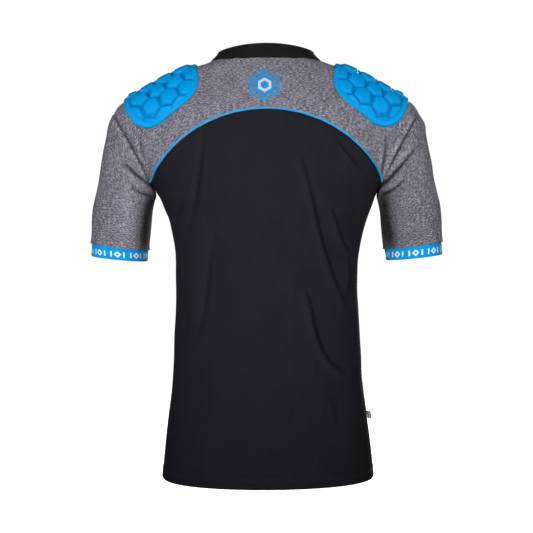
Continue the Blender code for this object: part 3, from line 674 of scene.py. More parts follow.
def cloth_piece(node, kind, points, slot, finish, held, rolled, thickness=JERSEY_WALL, **shaping):
    """Sews a sheet of cloth, dresses it and states the flat size that it was cut to."""
    sewn = sew(f"{node}_{kind}", points, thickness, rolled, **shaping)
    dress(sewn.piece, node, finish)
    width, length, area = cut_size(sewn.outer)
    area = min(area, width * length)
    print(sewn.piece.name, "is cut from", round(width, 3), "by", round(length, 3), "m of cloth,",
          round(area, 4), "square metres")
    return sewn


# %% [markdown]
# ## Writing shaders as sums
# A finish is easier to read as an expression than as a web of nodes. The small class below wraps a
# socket, so that adding, multiplying or comparing two of them adds the Math node for it.

# %% Sockets that can be added and multiplied
def two_forms(operation):
    """A sum with the socket in front, and its reflected form with the socket behind."""

    def in_front(self, other):
        return self.maths(operation, self, other)

    def behind(self, other):
        return self.maths(operation, other, self)

    return in_front, behind


class Value:
    """A shader socket that takes part in sums as a number does."""

    def __init__(self, finish, socket):
        self.finish = finish
        self.socket = socket

    def maths(self, operation, *numbers):
        inputs = dict(enumerate(numbers))
        return self.finish.node("ShaderNodeMath", {"operation": operation}, inputs)

    __add__, __radd__ = two_forms("ADD")
    __sub__, __rsub__ = two_forms("SUBTRACT")
    __mul__, __rmul__ = two_forms("MULTIPLY")
    __truediv__, __rtruediv__ = two_forms("DIVIDE")
    __lt__, __gt__ = two_forms("LESS_THAN")
    larger = two_forms("MAXIMUM")[0]

    def fract(self):
        return self.maths("FRACT", self)

    def size(self):
        return self.maths("ABSOLUTE", self)

    def sine(self):
        return self.maths("SINE", self)

    def waves(self, pitch):
        """Regular waves, with their length in metres."""
        return (self * (2 * math.pi / pitch)).sine()


class Finish:
    """A material with its shader, and one method that adds any node."""

    def __init__(self, name, roughness=0.8, specular=0.3, sheen=0.0, sheen_roughness=0.5):
        self.material = bpy.data.materials.new(name)
        self.material.use_nodes = True
        self.tree = self.material.node_tree
        self.shader = self.tree.nodes["Principled BSDF"]
        self.put(self.shader, "Roughness", roughness)
        self.put(self.shader, "Specular IOR Level", specular)
        self.put(self.shader, "Sheen Weight", sheen)
        self.put(self.shader, "Sheen Roughness", sheen_roughness)

    def find(self, sockets, key):
        if isinstance(key, int):
            return sockets[key]
        return next(s for s in sockets if s.enabled and key in (s.identifier, s.name))

    def put(self, node, key, value):
        socket = self.find(node.inputs, key)
        if isinstance(value, Value):
            self.tree.links.new(value.socket, socket)
        else:
            socket.default_value = value

    def node(self, kind, settings, sockets, output=0):
        made = self.tree.nodes.new(kind)
        for key, value in settings.items():
            if key == "stops":
                self.set_stops(made.color_ramp, value)
            else:
                setattr(made, key, value)
        for key, value in sockets.items():
            self.put(made, key, value)
        return Value(self, self.find(made.outputs, output))

    def set_stops(self, ramp, stops):
        while len(ramp.elements) < len(stops):
            ramp.elements.new(1.0)
        for element, (place, colour) in zip(ramp.elements, stops):
            element.position = place
            element.color = (*colour, 1)

    def mix(self, share, first, second):
        """A colour between two colours."""
        colours = {"Factor_Float": share}
        for key, colour in (("A_Color", first), ("B_Color", second)):
            colours[key] = colour if isinstance(colour, Value) else (*colour, 1)
        return self.node("ShaderNodeMix", {"data_type": "RGBA"}, colours, "Result_Color")

    def ramp(self, tone, *stops):
        """A colour read off a ramp of (place, colour) stops."""
        return self.node("ShaderNodeValToRGB", {"stops": stops}, {"Fac": tone}, "Color")

    def cloth_place(self):
        """Metres along and up the cloth, from the piece's own UV map."""
        return self.node("ShaderNodeUVMap", {"uv_map": "cloth"}, {})

    def object_place(self):
        """Metres from the origin of the frame."""
        return self.node("ShaderNodeTexCoord", {}, {}, "Object")

    def parts_of(self, vector):
        split = self.tree.nodes.new("ShaderNodeSeparateXYZ")
        self.put(split, 0, vector)
        return [Value(self, socket) for socket in split.outputs]

    def noise(self, vector, scale, detail=2.0, roughness=0.5):
        look = {"Vector": vector, "Scale": scale, "Detail": detail, "Roughness": roughness}
        return self.node("ShaderNodeTexNoise", {}, look, "Fac")

    def flecks(self, vector, along, up, detail=2.0, roughness=0.5):
        """Noise that is finer in one direction of the cloth than in the other."""
        drawn_out = self.node("ShaderNodeVectorMath", {"operation": "MULTIPLY"},
                              {0: vector, 1: (along, up, 1.0)})
        return self.noise(drawn_out, 1.0, detail, roughness)

    def between(self, value, low, high):
        """0 at one value and 1 at the other, with a soft change."""
        return self.node("ShaderNodeMapRange", {"interpolation_type": "SMOOTHSTEP"},
                         {"Value": value, "From Min": low, "From Max": high})

    def attribute(self, name):
        """A number that was stored with the mesh, point by point."""
        return self.node("ShaderNodeAttribute", {"attribute_name": name}, {}, "Fac")

    def creased(self, colour, depth):
        """A colour with painted shade in the crease drops and a painted highlight on the ridges."""
        relief = self.attribute("relief")
        return self.node("ShaderNodeVectorMath", {"operation": "SCALE"},
                         {"Vector": colour, "Scale": relief * depth + 1.0})

    def surface(self, colour, roughness):
        self.put(self.shader, "Base Color", colour)
        self.put(self.shader, "Roughness", roughness)
        return self.material

    def bump(self, height, strength, depth):
        relief = {"Strength": strength, "Distance": depth, "Height": height}
        normal = self.node("ShaderNodeBump", {}, relief, "Normal")
        self.put(self.shader, "Normal", normal)


def cloth_finish(name, *look):
    """A finish, its place on the cloth, and the metres along and up the cloth."""
    finish = Finish(name, *look)
    place = finish.cloth_place()
    along, up, _ = finish.parts_of(place)
    return finish, place, along, up


print("shader helpers ready")

# %% [markdown]
# ## Black jersey
# The body is a plain knitted jersey. Seen close, each wale is a row of small V shapes, one yarn leg
# leaning left and one leaning right. The colour is a soft black that is a little uneven, as dyed
# knit is, and fibre ends give a low sheen at grazing angles.

# %% The knit and the jersey finish
KNIT = {"wale": 0.0015, "course": 0.0012}
KNIT_RELIEF = {"strength": 0.14, "depth": 0.0004}


def knit_height(u, v, wale, course):
    """Height of knitted loops: V shapes in upright rows."""
    leg = ((u / wale).fract() - 0.5).size() * 2
    loop = (v / course + leg * 0.8).fract()
    return (loop * math.pi).sine() * ((leg * math.pi).sine() * 0.6 + 0.4)


def black_jersey():
    finish, place, u, v = cloth_finish("black_jersey_knit", 0.80, 0.06, 0.010, 0.4)
    cloudy = finish.noise(place, 24.0, 4.0)
    streak = finish.flecks(place, 900.0, 260.0)
    dyed = finish.ramp(cloudy * 0.4 + streak * 0.6,
                       (0.30, (0.0087, 0.0082, 0.0113)), (0.70, (0.0149, 0.0140, 0.0184)))
    finish.bump(knit_height(u, v, **KNIT), **KNIT_RELIEF)
    # The dyed black is darkened by painted crease shade and lightened by a painted ridge highlight.
    return finish.surface(finish.creased(dyed, 0.55), 0.74 + cloudy * 0.16)


jersey_finish = black_jersey()
print("finish:", jersey_finish.name)

# %% [markdown]
# ## Grey marl
# Marl is knitted from yarn spun of dark and light fibres, so it shows short flecks that lie along
# the courses. Two stretched noises give the flecks, one dark and one light, over a mid grey.

# %% The marl finish, plain and printed
MARL_MID, MARL_DARK = (0.130, 0.124, 0.150), (0.018, 0.017, 0.024)
MARL_LIGHT = (0.39, 0.375, 0.43)
PRINT_CENTRE = (0.002, -0.046)
PRINT_REACH = 0.0225
RING_INNER, FIELD_OUTER, CORE_OUTER, CORE_INNER = 0.84, 0.70, 0.44, 0.26
PRINT_BLUE, PRINT_WHITE = (0.001, 0.235, 0.58), (0.55, 0.56, 0.58)


def marl_colour(finish, place):
    along = finish.flecks(place, 250.0, 1150.0, 3.0, 0.6)
    other = finish.flecks(place, 200.0, 900.0, 2.0, 0.6)
    cloudy = finish.noise(place, 45.0, 3.0)
    dark = finish.between(along + cloudy * 0.12, 0.60, 0.44)
    light = finish.between(other + cloudy * 0.10, 0.52, 0.70)
    shaded = finish.mix(dark * 0.92, MARL_MID, MARL_DARK)
    return finish.mix(light * 0.88, shaded, MARL_LIGHT)


def hexagon_reach(x, z):
    """Distance from the middle, measured to a six-sided outline that stands on a point."""
    return x.size().larger(x.size() * 0.5 + z.size() * (math.sqrt(3) / 2))


def printed(finish, colour):
    """A plain flat print: a six-sided ring round a six-sided field."""
    coordinates = finish.object_place()
    x, _, z = finish.parts_of(coordinates)
    reach = hexagon_reach(x - PRINT_CENTRE[0], z - PRINT_CENTRE[1])
    ring = (reach < PRINT_REACH) * (reach > PRINT_REACH * RING_INNER)
    field = reach < PRINT_REACH * FIELD_OUTER
    core = (reach < PRINT_REACH * CORE_OUTER) * (reach > PRINT_REACH * CORE_INNER)
    outside = finish.attribute("right_side") > 0.5
    worn = 0.80 + finish.noise(coordinates, 900.0, 2.0) * 0.2
    colour = finish.mix((ring + field) * outside * worn, colour, PRINT_BLUE)
    return finish.mix(core * outside * worn, colour, PRINT_WHITE)


def grey_marl(name, has_print):
    finish, place, u, v = cloth_finish(name, 0.88, 0.10, 0.02, 0.5)
    # The marl gets painted crease shade and a painted ridge highlight.
    colour = finish.creased(marl_colour(finish, place), 0.88)
    if has_print:
        colour = printed(finish, colour)
    finish.bump(knit_height(u, v, **KNIT), **KNIT_RELIEF)
    return finish.surface(colour, 0.80 + finish.noise(place, 120.0) * 0.14)


marl_finish = grey_marl("grey_marl_knit", False)
printed_finish = grey_marl("grey_marl_printed", True)
print("finishes:", marl_finish.name, printed_finish.name)

# %% [markdown]
# ## Blue foam, elastic and cord
# The pads are closed-cell foam pressed in a mould: a satin blue skin with a very fine grain, and
# painted shade that makes the skin darker in the grooves. The cuffs are woven elastic with fine
# ribs and a printed row of plain lozenges and bars. The piping is a thin cord covered with
# bias-cut cloth.

# %% The blue finishes
MOTIF_PITCH, MOTIF_MIDDLE = 0.0310, 0.56
LOZENGE, LOZENGE_HOLLOW = (0.0058, 0.0050), (0.0026, 0.0022)
BAR_PLACE, BAR_HALF_WIDTH, BAR_HALF_HEIGHT = 0.0100, 0.0012, 0.0042
MOTIF_WHITE = (0.90, 0.93, 0.95)


def blue_foam():
    finish = Finish("blue_moulded_foam", 0.58, 0.07)
    place = finish.cloth_place()
    grain = finish.noise(place, 1500.0, 2.0)
    cloudy = finish.noise(place, 60.0, 3.0)
    # Painted shade: the skin's colour is darker in the grooves, read from the mesh.
    tone = finish.attribute("relief") * 0.66 + cloudy * 0.24 + grain * 0.08
    skin = finish.ramp(tone, (0.15, (0.0, 0.165, 0.45)), (0.60, (0.0, 0.255, 0.62)),
                       (0.95, (0.0, 0.315, 0.72)))
    finish.bump(grain, 0.12, 0.0003)
    return finish.surface(skin, 0.46 + cloudy * 0.20)


def lozenge_reach(x, y, half_sizes):
    """Below 1 inside a lozenge."""
    return x.size() / half_sizes[0] + y.size() / half_sizes[1]


def blue_elastic():
    finish, place, u, v = cloth_finish("blue_ribbed_elastic", 0.70, 0.07)
    middle = v - CUFF_HEIGHT * MOTIF_MIDDLE
    step = ((u / MOTIF_PITCH).fract() - 0.5) * MOTIF_PITCH
    lozenge = lozenge_reach(step, middle, LOZENGE) < 1.0
    around_hollow = lozenge_reach(step, middle, LOZENGE_HOLLOW) > 1.0
    beside = (step.size() - BAR_PLACE).size() < BAR_HALF_WIDTH
    bars = beside * (middle.size() < BAR_HALF_HEIGHT)
    white = (lozenge * around_hollow + bars) * (finish.attribute("right_side") > 0.5)
    weave = finish.flecks(place, 1400.0, 500.0)
    blue = finish.mix(weave, (0.0005, 0.270, 0.66), (0.0010, 0.400, 0.90))
    colour = finish.mix(white * (0.88 + weave * 0.10), blue, MOTIF_WHITE)
    finish.bump(v.waves(0.0014) * 0.5 + u.waves(0.0010) * 0.2, 0.4, 0.0003)
    return finish.surface(colour, 0.62 + weave * 0.18)


def blue_cord():
    finish, place, u, v = cloth_finish("blue_piping_cord", 0.62, 0.07)
    uneven = finish.noise(place, 220.0, 3.0)
    finish.bump((u + v * 0.8).waves(0.0011), 0.3, 0.0002)
    colour = finish.mix(uneven, (0.010, 0.220, 0.52), (0.045, 0.400, 0.78))
    return finish.surface(colour, 0.55 + uneven * 0.2)


foam_finish, elastic_finish, cord_finish = blue_foam(), blue_elastic(), blue_cord()
print("finishes:", foam_finish.name, elastic_finish.name, cord_finish.name)

# %% [markdown]
# ## Rib collar, label and thread
# The collar is a one-by-one rib: upright ridges that let it stretch over the head. The label is a
# folded grey tape with a plain woven check, and the thread is a glossy spun polyester.

# %% The small finishes
RIB_PITCH, TAPE_WEAVE = 0.0026, 0.0009


def black_rib():
    finish, place, u, v = cloth_finish("black_rib_knit", 0.80, 0.06, 0.010, 0.4)
    rib = u.waves(RIB_PITCH)
    uneven = finish.noise(place, 160.0, 3.0)
    colour = finish.mix(rib * 0.22 + uneven * 0.5 + 0.1, (0.0066, 0.0063, 0.0084),
                        (0.0168, 0.0160, 0.0204))
    finish.bump(rib + knit_height(u, v, 0.0013, 0.0011) * 0.3, 0.5, 0.0005)
    return finish.surface(colour, 0.74 + uneven * 0.14)


def grey_tape():
    finish = Finish("grey_woven_tape", 0.60, 0.35)
    coordinates = finish.object_place()
    x, y, z = finish.parts_of(coordinates)
    weave = z.waves(TAPE_WEAVE) * (x + y).waves(TAPE_WEAVE)
    uneven = finish.noise(coordinates, 500.0)
    colour = finish.mix(weave * 0.3 + uneven * 0.6, (0.22, 0.225, 0.23), (0.52, 0.53, 0.54))
    finish.bump(weave, 0.3, 0.0002)
    return finish.surface(colour, 0.5 + uneven * 0.2)


def thread(name, dark, light):
    finish = Finish(name, 0.5, 0.4)
    twist = finish.noise(finish.object_place(), 1600.0)
    return finish.surface(finish.mix(twist, dark, light), 0.42 + twist * 0.2)


rib_finish, tape_finish = black_rib(), grey_tape()
black_thread = thread("black_thread", (0.005, 0.005, 0.006), (0.013, 0.013, 0.016))
grey_thread = thread("grey_thread", (0.07, 0.07, 0.08), (0.20, 0.20, 0.22))
print("finishes:", rib_finish.name, tape_finish.name, black_thread.name, grey_thread.name)

# %% [markdown]
# ## Back and front panel
# The two black panels hang from the yokes to the hem and meet in the side seams. At the hem the
# cloth is turned up and sewn flat, which makes a band about 15 mm deep that stands a little proud
# and ends in a shallow groove where the stitches pull it in.

# %% Sew the body
HEM_BAND, HEM_PROUD, HEM_GROOVE = 0.0150, 0.0005, 0.0006
BACK_ROWS, FRONT_ROWS = 168, 100


def hem_lift(points):
    """The turned-up hem: proud by a cloth's thickness, with a groove at its stitch line."""
    above = points[..., 2] - points[0, :, 2]
    band = HEM_PROUD * np.clip((HEM_BAND + 0.002 - above) / 0.004, 0, 1)
    return band - HEM_GROOVE * hump(above, HEM_BAND, 0.0030)


panels = []
for node, side, rows in (("back_panel", BACK, BACK_ROWS), ("front_panel", FRONT, FRONT_ROWS)):
    grid = body_grid(side, rows)
    panels.append(cloth_piece(node, "cloth", grid, "black_jersey", jersey_finish, "hung",
                              Rolled(False, True, True), lift=hem_lift(grid)))

# %% [markdown]
# ## Yokes
# The grey yokes go over the shoulders. The back yoke ends below in a wide arch with blue piping,
# and both yokes meet along the top of the shoulder, under the pads.

# %% Sew the yokes
for node, grid, finish in (("yoke_back", yoke_grid(BACK, 60), printed_finish),
                           ("yoke_front", yoke_grid(FRONT, 48), marl_finish)):
    cloth_piece(node, "cloth", grid, "grey_marl", finish, "stretched", Rolled(True, True, True))

# %% [markdown]
# ## Sleeves and cuffs
# A short sleeve is a tube from the armhole to the cuff. The elastic is sewn on while stretched, so
# the sleeve end puckers a little and stands over it. The cuff itself is a plain band drawn in.

# %% Sew the sleeves and cuffs
CUFF_WALL, CUFF_DRAW_IN, SLEEVE_END_FLARE = 0.0018, 0.0012, 0.0012
SLEEVE_ROWS, SLEEVE_AROUND, CUFF_ROWS = 98, 188, 10
CUFF_SEAM, CUFF_END = 0.975, 1.85
PUCKER_START, PUCKER_HEIGHT = 0.86, 0.0005
SIDES = (("left", 1), ("right", -1))


def sleeve_lift():
    """The flare and the small puckers of the sleeve's end."""
    along = np.linspace(0, 1, SLEEVE_ROWS + 1)[:, None]
    turn = np.linspace(0, 2 * math.pi, SLEEVE_AROUND + 1)
    near_end = np.clip((along - PUCKER_START) / (1 - PUCKER_START), 0, 1) ** 2
    puckers = 0.5 * np.sin(23 * turn) + 0.5 * np.sin(14 * turn + 1.3)
    return near_end * (SLEEVE_END_FLARE + PUCKER_HEIGHT * puckers)


sleeves = []
for name, side in SIDES:
    tube = sleeve_grid(side, 0, CUFF_SEAM, SLEEVE_ROWS, SLEEVE_AROUND)
    sleeves.append(cloth_piece(f"sleeve_{name}", "cloth", tube, "grey_marl", marl_finish, "hung",
                               Rolled(True, False, False), closed=True, lift=sleeve_lift()))
    band = sleeve_grid(side, CUFF_SEAM, CUFF_END, CUFF_ROWS, SLEEVE_AROUND)
    cloth_piece(f"cuff_{name}", "band", band, "blue_elastic", elastic_finish, "stretched",
                Rolled(False, True, False), CUFF_WALL, closed=True, lift=-CUFF_DRAW_IN)

# %% [markdown]
# ## Collar
# The collar is a low stand of rib knit, higher at the back than at the sides, that leans in towards
# the neck. Its rows run straight up from the neck seam, and its top edge is a soft fold.

# %% Sew the collar
COLLAR_WALL, COLLAR_BACK_RISE, COLLAR_SIDE_RISE = 0.0022, 0.0185, 0.0115
COLLAR_LEAN, BACK_LEAN, SEAM_LEAN, TUCK_LEAN = 0.0120, 0.45, 0.08, 0.25
COLLAR_ROWS, COLLAR_AROUND, COLLAR_TUCK, COLLAR_SWELL = 14, 176, -0.22, 0.0005
COLLAR_SHARES = np.linspace(COLLAR_TUCK, 1, COLLAR_ROWS + 1)[:, None]


def collar_grid():
    turn = np.linspace(-math.pi, math.pi, COLLAR_AROUND + 1)
    rise = COLLAR_SIDE_RISE + (COLLAR_BACK_RISE - COLLAR_SIDE_RISE) * np.cos(turn) ** 2
    lean = COLLAR_LEAN * np.stack([np.sin(turn), BACK_LEAN * np.cos(turn)], -1)
    base = neck_point(turn)
    share = COLLAR_SHARES
    aside = np.where(share < 0, TUCK_LEAN * share + SEAM_LEAN, SEAM_LEAN * (1 - share) + share)
    return np.stack([base[:, 0] - lean[:, 0] * aside, base[:, 1] - lean[:, 1] * aside,
                     base[:, 2] + rise * share], -1)


def grid_normals(points):
    """Outward normals of a ring that stands free of the figure."""
    across = np.gradient(points, axis=1)
    across[:, [0, -1]] = (points[:, 1] - points[:, -2])[:, None]
    return unit(np.cross(across, np.gradient(points, axis=0)))


collar_points = collar_grid()
collar_swell = COLLAR_SWELL * np.sin(math.pi * np.clip(COLLAR_SHARES, 0, 1))
collar = cloth_piece("collar", "rib", collar_points, "black_rib", rib_finish, "stretched",
                     Rolled(False, True, False), COLLAR_WALL, closed=True, lift=collar_swell,
                     normals=grid_normals(collar_points))

# %% [markdown]
# ## Shoulder pads
# Each pad is one piece of foam, pressed with a honeycomb of soft cells inside a flat flange, and
# bent over the shoulder. A flat disc-shaped grid is the easiest start: the height of the mould is
# worked out for each point, and then the whole sheet is laid on the shoulder. The cells swell in
# the middle and sink into narrow grooves, as pressed foam does.

# %% The pad's mould
PAD_CENTRE_X, PAD_CENTRE_HEIGHT, PAD_SLOPE = 0.1635, -0.0370, math.radians(26.6)
PAD_ROOT_DEPTH, PAD_SHEAR, PAD_SKEW, PAD_FULLNESS = 0.1000, 0.10, 0.08, 3.0
PAD_HALF_ALONG, PAD_HALF_AROUND = 0.0620, 0.0715
PAD_ALONG_SHIFT, PAD_AROUND_SHIFT = -0.0035, 0.0262
PAD_FLANGE, PAD_FLANGE_HEIGHT = 0.0060, 0.0032
PAD_GROOVE_HEIGHT, PAD_CROWN_HEIGHT, PAD_EDGE_ROUND = 0.0036, 0.0092, 0.0022
PAD_SEAT_GAP, PAD_EDGE_THINNING = 0.0014, 0.45
CELL_PITCH, CELL_GROOVE_HALF_WIDTH = 0.0300, 0.0007
CELL_ALONG_SHIFT, CELL_AROUND_SHIFT = -0.0125, 0.0165
CELL_WALL_RUN, CELL_RIM_RUN, CELL_SHOULDER = 0.0042, 0.0060, 0.74
PAD_REACH, CELL_ROWS = 0.20, range(-5, 6)
MAP_ALONG, MAP_TURNS = np.linspace(-0.085, 0.085, 35), np.radians(np.linspace(-110, 110, 111))


def pad_point(along, turn):
    """Where a line in a section square to the shoulder's slope meets the cloth."""
    out, down = math.cos(PAD_SLOPE), math.sin(PAD_SLOPE)
    root_x = PAD_CENTRE_X + along * out - PAD_ROOT_DEPTH * down
    root_z = PAD_CENTRE_HEIGHT - along * down - PAD_ROOT_DEPTH * out

    def path(r):
        up = r * np.cos(turn)
        return np.stack([root_x + up * down, r * np.sin(turn), root_z + up * out], -1)

    return first_exit(path, len(turn), PAD_REACH)


def onto_shoulder(flat):
    """Lays flat pad places, in metres along and around the shoulder, on the cloth."""
    sections = on_grid(pad_point, *np.meshgrid(MAP_ALONG, MAP_TURNS, indexing="ij"))
    around = flat_lengths(sections)[..., 0]
    along = flat[:, 0] + PAD_SHEAR * flat[:, 1]
    row = np.interp(along, MAP_ALONG, np.arange(len(MAP_ALONG)))
    low = np.clip(row.astype(int), 0, len(MAP_ALONG) - 2)
    share = row - low
    below, above = (np.array([np.interp(reach, around[k], MAP_TURNS)
                              for reach, k in zip(flat[:, 1], rows)]) for rows in (low, low + 1))
    return pad_point(along, (1 - share) * below + share * above)


def cell_edge(flat):
    """Distance of each flat point from the nearest edge of the honeycomb."""
    row_step = CELL_PITCH * math.sqrt(3) / 2
    best = np.full(len(flat), -1.0)
    for row in CELL_ROWS:
        shift = CELL_ALONG_SHIFT + 0.5 * CELL_PITCH * (row % 2)
        dx = (flat[:, 0] - shift + CELL_PITCH / 2) % CELL_PITCH - CELL_PITCH / 2
        dy = flat[:, 1] - row * row_step - CELL_AROUND_SHIFT
        leaning = np.abs(dx) * 0.5 + np.abs(dy) * math.sqrt(3) / 2
        best = np.maximum(best, CELL_PITCH / 2 - np.maximum(np.abs(dx), leaning))
    return np.maximum(best, 0)


def eased(value):
    t = np.clip(value, 0, 1)
    return t * t * (3 - 2 * t)


def full_oval(x, y):
    """How far out a point lies in an oval with full corners, with 1 on the outline."""
    return (np.abs(x) ** PAD_FULLNESS + np.abs(y) ** PAD_FULLNESS) ** (1 / PAD_FULLNESS)


def mould_height(flat):
    """Height of the pad's upper face, and how far out of the grooves, which sets painted shade."""
    along = (flat[:, 0] - PAD_ALONG_SHIFT) / PAD_HALF_ALONG
    around = (flat[:, 1] - PAD_AROUND_SHIFT - PAD_SKEW * flat[:, 0]) / PAD_HALF_AROUND
    out = full_oval(along, around)
    radius = np.hypot(PAD_HALF_ALONG * along, PAD_HALF_AROUND * around) / np.maximum(out, 1e-6)
    from_rim = (1 - out) * radius
    edge_gap = cell_edge(flat)
    inner_gap = from_rim - PAD_FLANGE
    wall = eased((edge_gap - CELL_GROOVE_HALF_WIDTH) / CELL_WALL_RUN)
    wall *= eased(inner_gap / CELL_RIM_RUN)
    crown = 1 - (1 - np.clip(edge_gap / (CELL_PITCH / 2), 0, 1)) ** 2
    swell = wall * (CELL_SHOULDER + (1 - CELL_SHOULDER) * crown)
    swell *= PAD_CROWN_HEIGHT - PAD_GROOVE_HEIGHT
    swell *= 1 - PAD_EDGE_THINNING * np.minimum(out, 1) ** 2
    flange_rise = PAD_GROOVE_HEIGHT - PAD_FLANGE_HEIGHT
    flange = PAD_FLANGE_HEIGHT + flange_rise * eased(from_rim / PAD_FLANGE)
    edge = np.sqrt(np.clip(from_rim / PAD_EDGE_ROUND, 0.06, 1))
    # How far out of the grooves a point is; it sets the painted shade in the grooves.
    groove_shading = np.where(inner_gap > 0, eased((edge_gap - 0.0003) / 0.0034), 1.0)
    return (flange + swell) * edge, np.maximum(groove_shading, 1 - eased(inner_gap / 0.004))


print("the mould is", round(PAD_CROWN_HEIGHT * 1000, 1), "mm deep")

# %% Press the pads and bend them over the shoulders
PAD_STEPS = (128, 150)


def disc_places():
    """A square grid drawn out to a full oval, so that its edge is the pad's outline."""
    v, u = np.meshgrid(np.linspace(-1, 1, PAD_STEPS[1] + 1), np.linspace(-1, 1, PAD_STEPS[0] + 1),
                       indexing="ij")
    x = u * np.sqrt(1 - v * v / 2)
    y = v * np.sqrt(1 - u * u / 2)
    fuller = np.hypot(x, y) / np.maximum(full_oval(x, y), 1e-6)
    along = PAD_ALONG_SHIFT + x * fuller * PAD_HALF_ALONG
    around = PAD_AROUND_SHIFT + y * fuller * PAD_HALF_AROUND + PAD_SKEW * along
    return np.stack([along, around], -1)


pad_flat = disc_places()
flat_list = pad_flat.reshape(-1, 2)
pad_height, pad_groove_shading = mould_height(flat_list)
pad_seat = onto_shoulder(flat_list)
pad_normals = outward(pad_seat)
pad_rows = pad_flat.shape[:2]
for name, side in SIDES:
    mirror = np.array([side, 1, 1])
    under = (pad_seat + pad_normals * PAD_SEAT_GAP) * mirror
    over = (pad_seat + pad_normals * (PAD_SEAT_GAP + pad_height)[:, None]) * mirror
    # The last argument carries the painted shade of the pad's grooves.
    pad = wall_mesh(f"pad_{name}_foam", over.reshape(*pad_rows, 3), under.reshape(*pad_rows, 3),
                    pad_flat, False, pad_groove_shading.reshape(pad_rows))
    dress(pad, f"pad_{name}", foam_finish)

# %% [markdown]
# ## Piping
# Piping is a strip of cloth folded round a cord and caught in the seam. On the outside only its
# round edge shows, so a tube along the arched seam is enough. Ring by ring it follows the creased
# cloth on both sides of the seam.

# %% Lay the piping
PIPING_RADIUS, PIPING_LIFT, PIPING_SINK, PIPING_SIDES = 0.0017, 0.0013, 0.0014, 12


def tube_along(name, centres, normals, radius, sides):
    """A round tube along a line, closed at both ends."""
    aside = np.cross(unit(np.gradient(centres, axis=0)), normals)
    built = bmesh.new()
    cloth = built.loops.layers.uv.new("cloth")
    ring = bmesh.ops.create_circle(built, cap_ends=False, segments=sides, radius=radius)["verts"]
    turns = [math.atan2(vert.co.y, vert.co.x) for vert in ring]
    lengths = lengths_from(step_lengths(centres))
    rings = [ring]
    edges = list({edge for vert in ring for edge in vert.link_edges})
    for _ in centres[1:]:
        grown = bmesh.ops.extrude_edge_only(built, edges=edges)["geom"]
        edges = [item for item in grown if isinstance(item, bmesh.types.BMEdge)
                 and all(vert in grown for vert in item.verts)]
        rings.append([item for item in grown if isinstance(item, bmesh.types.BMVert)])
    place_of = {}
    for k, verts in enumerate(rings):
        for vert, turn in zip(verts, turns):
            spoke = math.cos(turn) * aside[k] + math.sin(turn) * normals[k]
            vert.co = centres[k] + radius * spoke
            place_of[vert] = (lengths[k], turn * radius)
    bmesh.ops.holes_fill(built, edges=[e for e in built.edges if e.is_boundary], sides=0)
    bmesh.ops.recalc_face_normals(built, faces=built.faces)
    for face in built.faces:
        for loop in face.loops:
            loop[cloth].uv = place_of[loop.vert]
    return finished(name, built)


seam_line = yoke_seam(BACK)
seam_normals = outward(seam_line)
seam_push = crease_fold(seam_line)[0] + wrinkle_push(seam_line)
piping_lift = seam_push + PIPING_RADIUS + PIPING_LIFT - PIPING_SINK
piping_centres = seam_line + seam_normals * piping_lift[:, None]
piping = tube_along("piping_cord", piping_centres, seam_normals, PIPING_RADIUS, PIPING_SIDES)
dress(piping, "piping_back", cord_finish)

# %% [markdown]
# ## Side label
# A short folded tape is caught in the side seam. It is a thin slab that is bent back and sags a
# little, with its corners rounded by a bevel.

# %% Fold the label
LABEL_HEIGHT, LABEL_LENGTH, LABEL_REACH = -0.5470, 0.0120, 0.0065
LABEL_WALL, LABEL_GAP, LABEL_WAVE, LABEL_BEVEL = 0.0010, 0.0007, 0.0003, 0.0002
LABEL_SAG, LABEL_BEND = 0.10, 0.25


def long_edges(built, axis):
    return [e for e in built.edges if abs((e.verts[0].co - e.verts[1].co)[axis]) > 0.5]


def fold_label():
    built = bmesh.new()
    bmesh.ops.create_cube(built, size=1)
    for axis, cuts in ((0, 6), (2, 5)):
        bmesh.ops.subdivide_edges(built, edges=long_edges(built, axis), cuts=cuts,
                                  use_grid_fill=True)
    for vert in built.verts:
        out = 0.5 - vert.co.x
        height = LABEL_HEIGHT + LABEL_LENGTH * (vert.co.z - LABEL_SAG * out * out)
        seam = level_point(np.full(1, -math.pi / 2), np.full(1, height))[0]
        wave = LABEL_WAVE * math.sin(9 * vert.co.z) * out
        back = vert.co.y * LABEL_WALL + LABEL_BEND * LABEL_REACH * out * out + wave
        vert.co = (seam[0] - LABEL_GAP - LABEL_REACH * out, seam[1] + back, height)
    rim = [e for e in built.edges if len(e.link_faces) == 2 and e.calc_face_angle(0) > 1.0]
    bmesh.ops.bevel(built, geom=rim, offset=LABEL_BEVEL, affect="EDGES", segments=2, profile=0.5,
                    material=-1)
    bmesh.ops.recalc_face_normals(built, faces=built.faces)
    return finished("side_label_tape", built)


dress(fold_label(), "side_label", tape_finish)

# %% [markdown]
# ## Stitches
# Stitches show how a garment is held together. Each is a tiny stretched ball of thread that lies
# along its row: twin rows round the hem, one row below the collar and one above each cuff.

# %% Sew the stitch rows
STITCH_PITCH, STITCH_LENGTH, STITCH_RADIUS, STITCH_LIFT = 0.0032, 0.0024, 0.00032, 0.0001
HEM_STITCH_HEIGHTS, COLLAR_STITCH_ROW, CUFF_STITCH_ROW = (0.0120, HEM_BAND), 5, -2
NEARBY = 0.0005


